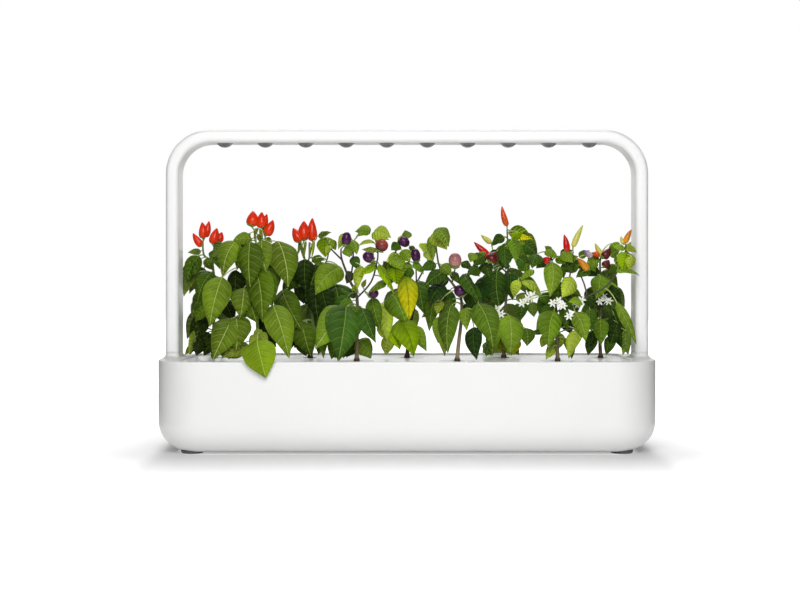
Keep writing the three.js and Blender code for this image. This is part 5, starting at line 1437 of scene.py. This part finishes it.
class Cell:
    """The space that one plant may fill."""

    def __init__(self, index):
        x, y = pod_sites[index]
        self.toward = -1 if y < 0 else 1
        self.cool_share = cool_leaf_shares[index]
        self.leaf_gain = leaf_gains[index]
        self.low = (-plant_reach_x if index < 2 else x - pod_pitch) + plant_side_gap
        self.high = (plant_reach_x if index > pod_count - 3 else x + pod_pitch) - plant_side_gap

    def kept(self, point, margin=0.0, lift=0.0):
        x = min(max(point.x, self.low + margin), self.high - margin)
        away = min(max(point.y * self.toward, plant_middle_gap + margin), plant_overhang - margin)
        z = point.z
        under_lamp = min(1.0, max(0.0, 1 - (lamp_shadow_height - z) / keepout_ease))
        by_leg = min(1.0, max(0.0, 1 - (leg_keepout_x - abs(x)) / keepout_ease))
        away = max(away, (lamp_shadow_half + margin) * under_lamp, (leg_keepout_y + margin) * by_leg)
        if away < plant_beyond_rim:
            z = max(z, tray_top_height + plant_above_tray + lift)
        return Vector((x, away * self.toward, z))


def nearest_on(runs, target):
    best = None
    for run in runs:
        for a, b in zip(run, run[1:]):
            span = b - a
            share = min(1.0, max(0.0, (target - a).dot(span) / max(span.length_squared, 1e-12)))
            point = a + span * share
            far = (point - target).length
            if best is None or far < best[0]:
                best = (far, point)
    return best[1]


class Growth:
    """Vertices, faces and colours of one growing mesh."""

    def __init__(self):
        self.vertices = []
        self.faces = []
        self.layers = {}

    def vertex(self, point, **values):
        self.vertices.append(point)
        for key, value in values.items():
            self.layers.setdefault(key, []).append(value)
        return len(self.vertices) - 1

    def tube(self, points, radii, sides, **values):
        """A round tube along points, with a radius and values at each point."""
        rows = []
        u = None
        for i, point in enumerate(points):
            along = (points[min(i + 1, len(points) - 1)] - points[max(i - 1, 0)]).normalized()
            if u is None:
                u = along.orthogonal().normalized()
            u = (u - along * u.dot(along)).normalized()
            v = along.cross(u)
            row = []
            for k in range(sides):
                angle = k / sides * 2 * math.pi
                spot = point + (u * math.cos(angle) + v * math.sin(angle)) * radii[i]
                row.append(self.vertex(spot, **{key: value[i] for key, value in values.items()}))
            rows.append(row)
        for here, after in zip(rows, rows[1:]):
            for k in range(sides):
                m = (k + 1) % sides
                self.faces.append((here[k], here[m], after[m], after[k]))
        self.faces.append(tuple(reversed(rows[0])))
        self.faces.append(tuple(rows[-1]))

    def made(self, name, material, turn_outward=True):
        obj = new_object(name, self.vertices, self.faces, material, turn_outward)
        for key, values in self.layers.items():
            if len(values[0]) == 3:
                layer = obj.data.attributes.new(key, "FLOAT_VECTOR", "POINT")
                layer.data.foreach_set("vector", [c for value in values for c in value])
            else:
                layer = obj.data.color_attributes.new(key, "FLOAT_COLOR", "POINT")
                layer.data.foreach_set("color", [c for value in values for c in value])
        return smoothed(obj, crease_degrees=growth_crease_degrees)


def blended(first, second, share):
    return tuple(a + (b - a) * share for a, b in zip(first, second))


def smooth_run(run):
    """Points along a smooth curve through the points of a run."""
    points = []
    for i in range(len(run) - 1):
        before = run[max(0, i - 1)]
        after = run[min(len(run) - 1, i + 2)]
        a, b = run[i], run[i + 1]
        for k in range(stem_steps_per_point):
            t = k / stem_steps_per_point
            points.append(0.5 * (
                2 * a + (b - before) * t + (2 * before - 5 * a + 4 * b - after) * t ** 2
                + (3 * a - before - 3 * b + after) * t ** 3))
    points.append(run[-1])
    return points


def grow_stems(growth, runs, tones):
    low_tone, high_tone = (linear(t) for t in tones)
    for index, run in enumerate(runs):
        points = smooth_run(run)
        thick = stem_radius if index == 0 else twig_radius * side_twig_gain
        radii = []
        colours = []
        for k, point in enumerate(points):
            share = k / (len(points) - 1)
            rise = point.z - tray_top_height
            foot = max(0.0, 1 - abs(rise) / stem_foot_height)
            radii.append(thick + (twig_radius - thick) * share + stem_foot_spread * foot)
            green = rise / (lamp_shadow_height - tray_top_height) * stem_green_gain
            tone = blended(low_tone, high_tone, min(1.0, max(0.0, green)))
            colours.append(blended(tone, linear(stem_foot_tone), min(1.0, foot * stem_foot_tone_gain)))
        growth.tube(points, radii, stem_sides, stem_tone=colours)


def grow_stalk(growth, root, end, thick, thin, rise_share, first_tone, last_tone):
    """A leaf's or fruit's stalk that leaves the twig, arches over and meets its base."""
    span = end - root
    lift = Vector((0, 0, 1)) * span.length * rise_share
    handle = root + span * stalk_bend_share + lift
    points = []
    radii = []
    tones = []
    for k in range(petiole_steps + 1):
        t = k / petiole_steps
        points.append(root * (1 - t) ** 2 + handle * 2 * t * (1 - t) + end * t ** 2)
        radii.append(thick + (thin - thick) * t)
        tones.append(blended(first_tone, last_tone, t))
    growth.tube(points, radii, petiole_sides, stem_tone=tones)


class LeafLook:
    """The chance turns, bends and tones of one leaf."""

    def __init__(self, cell):
        self.yaw = rng.uniform(-leaf_yaw_spread, leaf_yaw_spread)
        self.twist = rng.uniform(-leaf_twist_spread, leaf_twist_spread)
        self.wave_turn = rng.uniform(0, 2 * math.pi)
        self.wave_pace = rng.uniform(*leaf_wave_pace_range)
        self.arch = leaf_arch_share * rng.uniform(*leaf_arch_range)
        self.fold = leaf_fold_share * rng.uniform(*leaf_fold_range)
        self.bow = rng.uniform(-leaf_bow_share, leaf_bow_share)
        self.bright = rng.uniform(*leaf_bright_range) * cell.leaf_gain
        self.half_shade_gain = rng.uniform(-leaf_half_shade_contrast, leaf_half_shade_contrast)
        self.margin = leaf_thickness + rng.uniform(0, leaf_layer_depth)
        self.lift = leaf_thickness + rng.uniform(0, leaf_layer_lift)


def blade_rows(base, tip, front, half_wide, look):
    """The blade as rows of spots across it, each with the direction that its upper side faces."""
    along = tip - base
    length = along.length
    along.normalize()
    facing = Vector((0, front, leaf_facing_tilt_share)).normalized()
    side = along.cross(facing).normalized()
    face = side.cross(along).normalized()
    rows = []
    for t, wide_share in leaf_outline_shares:
        middle = base + along * length * t + side * length * look.bow * 4 * t * (1 - t)
        middle += face * length * (look.arch * 4 * t * (1 - t) - leaf_tip_curl_share * t ** 4)
        turn = look.yaw + look.twist * t
        out = side * math.cos(turn) + face * math.sin(turn)
        up = face * math.cos(turn) - side * math.sin(turn)
        wide = half_wide * wide_share
        row = []
        for v in leaf_columns:
            wave = math.sin(look.wave_turn + look.wave_pace * t + (2 if v > 0 else 0))
            quilt = leaf_quilt_share * 4 * abs(v) * (1 - abs(v))
            lift = quilt + (leaf_wave_share * wave - look.fold) * v * v
            row.append((middle + out * wide * v + up * wide * lift, up))
        rows.append(row)
    return rows


def fitted_rows(base, tip, front, half_wide, look, cell):
    """The blade moved aside, or its tip raised, until it fits the plant's space."""
    for _ in range(leaf_fit_rounds):
        rows = blade_rows(base, tip, front, half_wide, look)
        spots = [spot for row in rows for spot, up in row]
        left = max(0.0, cell.low + look.margin - min(spot.x for spot in spots))
        right = max(0.0, max(spot.x for spot in spots) - cell.high + look.margin)
        hanging = tip.y * cell.toward > plant_beyond_rim
        over_tray = [] if hanging else [spot.z for spot in spots if spot.y * cell.toward < plant_beyond_rim]
        sunk = max(0.0, tray_top_height + plant_above_tray + look.lift - min(over_tray, default=1.0))
        step = Vector((left - right, 0, 0))
        base = base + step
        tip = tip + step + Vector((0, 0, sunk))
    return base, tip, blade_rows(base, tip, front, half_wide, look)


def grow_leaf(growth, stems, row, runs, cell):
    bx, by, tx, ty, wide_px, base_share, tip_share, tone = row
    base = cell.kept(seen_at(bx, by, base_share * pod_row_offset))
    tip = cell.kept(seen_at(tx, ty, tip_share * pod_row_offset))
    half_wide = wide_px / 2 * (viewer_distance + base.y) / picture_focus_px * leaf_width_gain
    front = -1 if cell.toward < 0 or tip.y < nearest_on(runs, base).y else 1
    look = LeafLook(cell)
    if tip.y * cell.toward > plant_beyond_rim:
        look.margin = leaf_thickness
    base, tip, rows = fitted_rows(base, tip, front, half_wide, look, cell)
    colour = linear(leaf_tones[tone])
    if tone < first_yellow_tone:
        cool_share = cell.cool_share * (1 - tone / len(leaf_tones))
        colour = blended(colour, linear(cool_leaf_tone), cool_share)
    colour = tuple(c * look.bright for c in colour[:3])
    greener = linear(leaf_tones[first_yellow_tone - 1])[:3] if tone >= first_bright_tone else colour
    # The veins take the plant's painted light as well
    vein_gain = max(1.0, cell.leaf_gain * vein_gain_share)
    vein = tuple(c * vein_gain for c in linear(vein_tones[tone])[:3]) + (1.0,)
    top_rows = []
    low_rows = []
    for (t, wide_share), spots in zip(leaf_outline_shares, rows):
        here = blended(greener, colour, min(1.0, t * leaf_base_fade))
        top = []
        low = []
        for v, (spot, up) in zip(leaf_columns, spots):
            # Painted light and shade: one half of the blade lighter and the other darker, as if tilted
            # differently to the light, and both ends lighter than the middle
            half_share = min(1.0, abs(v) * leaf_half_step) * (1 if v > 0 else -1)
            shade = 1 + look.half_shade_gain * half_share + leaf_end_light_gain * abs(t - 0.5)
            values = {"leaf_tone": tuple(c * shade for c in here) + (1.0,), "vein_tone": vein}
            spot = cell.kept(spot, look.margin, look.lift)
            top.append(growth.vertex(spot, leaf_place=(t, wide_share * v, 0.0), **values))
            if abs(v) == 1:
                low.append(top[-1])
            else:
                under = spot - up * leaf_thickness * (1 - v * v)
                low.append(growth.vertex(under, leaf_place=(t, wide_share * v, 1.0), **values))
        top_rows.append(top)
        low_rows.append(low)
    count = len(leaf_columns)
    for skin, flip in ((top_rows, False), (low_rows, True)):
        for here_row, after_row in zip(skin, skin[1:]):
            for k in range(count - 1):
                quad = (here_row[k], here_row[k + 1], after_row[k + 1], after_row[k])
                growth.faces.append(tuple(reversed(quad)) if flip else quad)
    for top, low, flip in ((top_rows[0], low_rows[0], True), (top_rows[-1], low_rows[-1], False)):
        rim = top + low[1:-1][::-1]
        growth.faces.append(tuple(reversed(rim)) if flip else tuple(rim))
    root = nearest_on(runs, base)
    if (root - base).length > petiole_radius:
        root_tone = blended(vein, linear(leaf_stalk_root_tone), leaf_stalk_root_blend)
        end_tone = blended(vein, linear(leaf_stalk_end_tone), leaf_stalk_end_blend)
        thick, thin = (petiole_radius * gain for gain in leaf_stalk_gains)
        end = base + (tip - base) * leaf_stalk_inset
        grow_stalk(stems, root, end, thick, thin, petiole_rise_share, root_tone, end_tone)


def grow_fruit(growth, stems, row, runs, cell):
    bx, by, tx, ty, wide_px, share, tone = row
    base = cell.kept(seen_at(bx, by, share * pod_row_offset))
    tip = cell.kept(seen_at(tx, ty, share * pod_row_offset))
    root = nearest_on(runs, base)
    radius = wide_px / 2 * (viewer_distance + base.y) / picture_focus_px * fruit_width_gain
    along = tip - base
    length = along.length
    first, last = (linear(t) for t in fruit_tones[tone])
    bow_length = length * rng.uniform(-fruit_bow_share, fruit_bow_share)
    bow = along.normalized().cross(Vector((0, 1, 0))) * bow_length
    points = []
    radii = []
    tones = []
    for t, width in fruit_outline_shares:
        if tone in oval_fruit_tones:
            circle = math.sqrt(max(0.0, 1 - (2 * t - 1) ** 2))
            width = max(oval_fruit_least_width, circle ** oval_fruit_power)
        points.append(base + along * t + bow * 4 * t * (1 - t))
        radii.append(radius * width)
        tones.append(blended(first, last, t))
    growth.tube(points, radii, fruit_sides, fruit_tone=tones)
    green = linear(calyx_tone)
    start = base - along.normalized() * radius * calyx_share
    cap = [start, start + along * calyx_share * 0.5, start + along * calyx_share]
    cap_shares = (calyx_root_share, calyx_wide_share, calyx_wide_share + calyx_flare_share)
    stems.tube(cap, [radius * share for share in cap_shares], fruit_sides, stem_tone=[green, green, green])
    end_radius = petiole_radius * fruit_stalk_gain
    grow_stalk(stems, root, start, petiole_radius, end_radius, fruit_stalk_rise_share, green, green)


def grow_flower(growth, stems, spot, runs, cell):
    centre = cell.kept(spot)
    root = nearest_on(runs, centre)
    white = linear(petal_tone)
    cream = linear(flower_centre_tone)
    aside = rng.uniform(-flower_side_tilt, flower_side_tilt)
    tilt = Vector((aside, cell.toward, rng.uniform(*flower_up_tilt))).normalized()
    right = tilt.cross(Vector((0, 0, 1))).normalized()
    up = right.cross(tilt)
    for k in range(flower_petals):
        turn = k + rng.uniform(-flower_turn_spread, flower_turn_spread)
        angle = turn / flower_petals * 2 * math.pi
        out = right * math.cos(angle) + up * math.sin(angle)
        across = tilt.cross(out)
        rows = []
        for t, width in petal_outline_shares:
            rise = flower_petal_length * flower_cup_share * (t - t * t * flower_curl_share)
            middle = centre + out * flower_petal_length * t + tilt * rise
            row = []
            for v, lift in petal_section:
                point = middle + across * v * width * flower_petal_width / 2 + tilt * lift * leaf_thickness
                row.append(growth.vertex(cell.kept(point), leaf_tone=white))
            rows.append(row)
        for here, after in zip(rows, rows[1:]):
            for i in range(len(here)):
                m = (i + 1) % len(here)
                growth.faces.append((here[i], here[m], after[m], after[i]))
        growth.faces.append(tuple(reversed(rows[0])))
        growth.faces.append(tuple(rows[-1]))
    ends = [centre - tilt * flower_centre_radius, centre, centre + tilt * flower_centre_radius * 2]
    widths = [flower_centre_radius * share for share in flower_centre_shares]
    growth.tube(ends, widths, flower_centre_sides, leaf_tone=[cream, cream, cream])
    green = linear(calyx_tone)
    thick, thin = (petiole_radius * gain for gain in flower_stalk_gains)
    grow_stalk(stems, root, ends[0], thick, thin, flower_stalk_rise_share, green, green)


def make_plant(index):
    number = index + 1
    x, y = pod_sites[index]
    cell = Cell(index)
    root = Vector((x, y, root_bottom_height + fit_gap))
    collar = Vector((x, y, tray_top_height + plant_above_tray))
    runs = [
        [cell.kept(seen_at(across, down, share * pod_row_offset)) for across, down, share in run]
        for run in twigs_px[index]
    ]
    runs[0] = [root, collar] + runs[0]
    for r in range(1, len(runs)):
        runs[r][0] = nearest_on(runs[:r], runs[r][0])
    stems = Growth()
    leaves = Growth()
    fruits = Growth()
    grow_stems(stems, runs, stem_tones[index])
    for row in leaves_px[index]:
        grow_leaf(leaves, stems, row, runs, cell)
    for row in fruits_px[index]:
        grow_fruit(fruits, stems, row, runs, cell)
    petals = Growth()
    for pod, across, down, share in flowers_px:
        if pod == number:
            grow_flower(petals, stems, seen_at(across, down, share * pod_row_offset), runs, cell)
    body = f"pod_{number}"
    installed(stems.made(f"stems_{number}", stem_material), body, "plant_green", f"plant_{number}")
    installed(leaves.made(f"leaves_{number}", leaf_material, turn_outward=False), body, "plant_green")
    installed(fruits.made(f"peppers_{number}", fruit_material), body, "plant_green")
    if petals.vertices:
        installed(petals.made(f"flowers_{number}", petal_material), body, "plant_green")


for index in range(pod_count):
    make_plant(index)


# Floor, light and camera
floor_size = 9.0
floor_roughness = 0.9
floor_tone = (211, 211, 211)
# Floor tones for bounced light: paler than the floor the camera sees, and darker to the sides as painted
# shade for the tank's ends
floor_bounce_tone = (250, 250, 250)
floor_side_shade_tone = (96, 96, 96)
floor_side_start = 0.34
floor_side_end = 0.65
floor_near_glow = 0.1
floor_under_glow = 0.32
floor_under_start = 0.018
floor_under_end = 0.028
floor_end_glow = 0.2
floor_far_glow = 0.6
floor_glow_reach = 0.26
floor_end_ramp = 0.015
key_distance = 1.4
key_height = 0.95
key_aim_height = 0.15
key_size = 0.9
key_energy = 17
top_back = 0.5
top_height = 1.6
top_aim_height = 0.1
top_size = 1.3
top_energy = 16
sky_strength = 0.3
sky_side_strength = 0.02
sky_back_gain = 4


def make_floor():
    """White floor that keeps the soft shadow near the tank and fades to plain white beyond it."""
    n = Nodes("floor_white")
    half = floor_size / 2
    corners = [Vector((x * half, y * half, 0)) for x, y in ((-1, -1), (1, -1), (1, 1), (-1, 1))]
    floor = new_object("floor", corners, [(0, 1, 2, 3)], n.material)
    seen = n.add("ShaderNodeLightPath").outputs["Is Camera Ray"]
    place = n.add("ShaderNodeSeparateXYZ", None, Vector=n.places())
    aside = n.math("ABSOLUTE", place.outputs["X"])
    past_end = n.math("SUBTRACT", aside, half_length)
    along = n.math("MAXIMUM", n.math("SUBTRACT", aside, half_length - tank_corner_radius), 0.0)
    across = n.math("SUBTRACT", n.math("ABSOLUTE", place.outputs["Y"]), half_depth - tank_corner_radius)
    across = n.math("MAXIMUM", across, 0.0)
    squares = n.math("ADD", n.math("MULTIPLY", along, along), n.math("MULTIPLY", across, across))
    away = n.math("SUBTRACT", n.math("SQRT", squares), tank_corner_radius)
    # For bounced light the floor is paler than the camera sees it, which lights the tank's underside, and
    # dark towards the sides, which is painted shade on the tank's ends
    bounce = n.mix(
        n.range(aside, floor_side_start, floor_side_end), linear(floor_bounce_tone), linear(floor_side_shade_tone))
    n.set(Base_Color=n.mix(seen, bounce, linear(floor_tone)), Roughness=floor_roughness)
    n.set(Emission_Color=(1.0, 1.0, 1.0, 1.0))
    glow = n.math(
        "ADD", n.range(away, 0.0, floor_glow_reach, floor_near_glow, floor_far_glow),
        n.range(past_end, -floor_end_ramp, floor_end_ramp, 0.0, floor_end_glow))
    glow = n.math("ADD", glow, n.range(away, -floor_under_end, -floor_under_start, floor_under_glow, 0.0))
    glow = n.math("MAXIMUM", glow, n.range(away, floor_glow_reach, floor_glow_reach * 3))
    n.set(Emission_Strength=n.math("MULTIPLY", seen, glow))


def make_world():
    world = bpy.data.worlds.new("studio")
    world.use_nodes = True
    bpy.context.scene.world = world
    nodes = world.node_tree.nodes
    links = world.node_tree.links
    background = nodes["Background"]
    path = nodes.new("ShaderNodeLightPath")
    seen = nodes.new("ShaderNodeMath")
    seen.operation = "MAXIMUM"
    links.new(path.outputs["Is Camera Ray"], seen.inputs[0])
    links.new(path.outputs["Is Transmission Ray"], seen.inputs[1])
    heading = nodes.new("ShaderNodeTexCoord")
    parts = nodes.new("ShaderNodeSeparateXYZ")
    links.new(heading.outputs["Generated"], parts.inputs["Vector"])
    aside = nodes.new("ShaderNodeMath")
    aside.operation = "ABSOLUTE"
    links.new(parts.outputs["X"], aside.inputs[0])
    sky = nodes.new("ShaderNodeMapRange")
    links.new(aside.outputs[0], sky.inputs["Value"])
    sky.inputs["To Min"].default_value = sky_strength
    sky.inputs["To Max"].default_value = sky_side_strength
    behind = nodes.new("ShaderNodeMapRange")
    links.new(parts.outputs["Y"], behind.inputs["Value"])
    behind.inputs["To Min"].default_value = 1.0
    behind.inputs["To Max"].default_value = sky_back_gain
    whole_sky = nodes.new("ShaderNodeMath")
    whole_sky.operation = "MULTIPLY"
    links.new(sky.outputs[0], whole_sky.inputs[0])
    links.new(behind.outputs[0], whole_sky.inputs[1])
    strength = nodes.new("ShaderNodeMapRange")
    links.new(seen.outputs[0], strength.inputs["Value"])
    links.new(whole_sky.outputs[0], strength.inputs["To Min"])
    strength.inputs["To Max"].default_value = 1.0
    background.inputs["Color"].default_value = (1.0, 1.0, 1.0, 1.0)
    links.new(strength.outputs[0], background.inputs["Strength"])


def area_light(name, place, aim, size, energy):
    lamp = bpy.data.lights.new(name, "AREA")
    lamp.shape = "SQUARE"
    lamp.size = size
    lamp.energy = energy
    obj = bpy.data.objects.new(name, lamp)
    bpy.context.scene.collection.objects.link(obj)
    obj.location = place
    obj.rotation_euler = (Vector(aim) - Vector(place)).to_track_quat("-Z", "Y").to_euler()


def make_camera():
    data = bpy.data.cameras.new("camera")
    camera = bpy.data.objects.new("camera", data)
    bpy.context.scene.collection.objects.link(camera)
    data.sensor_width = sensor_width_mm
    data.lens = sensor_width_mm * picture_focus_px / picture_width_px
    data.shift_x = (picture_width_px / 2 - picture_middle_px) / picture_width_px
    data.shift_y = (picture_horizon_px - picture_height_px / 2) / picture_width_px
    camera.location = (0, -viewer_distance, viewer_eye_height)
    camera.rotation_euler = (math.pi / 2, 0, 0)
    bpy.context.scene.camera = camera


make_floor()
make_world()
area_light("key", (0.0, -key_distance, key_height), (0, 0, key_aim_height), key_size, key_energy)
area_light("top", (0.0, top_back, top_height), (0, 0, top_aim_height), top_size, top_energy)
make_camera()
bpy.context.scene.view_settings.view_transform = "Standard"
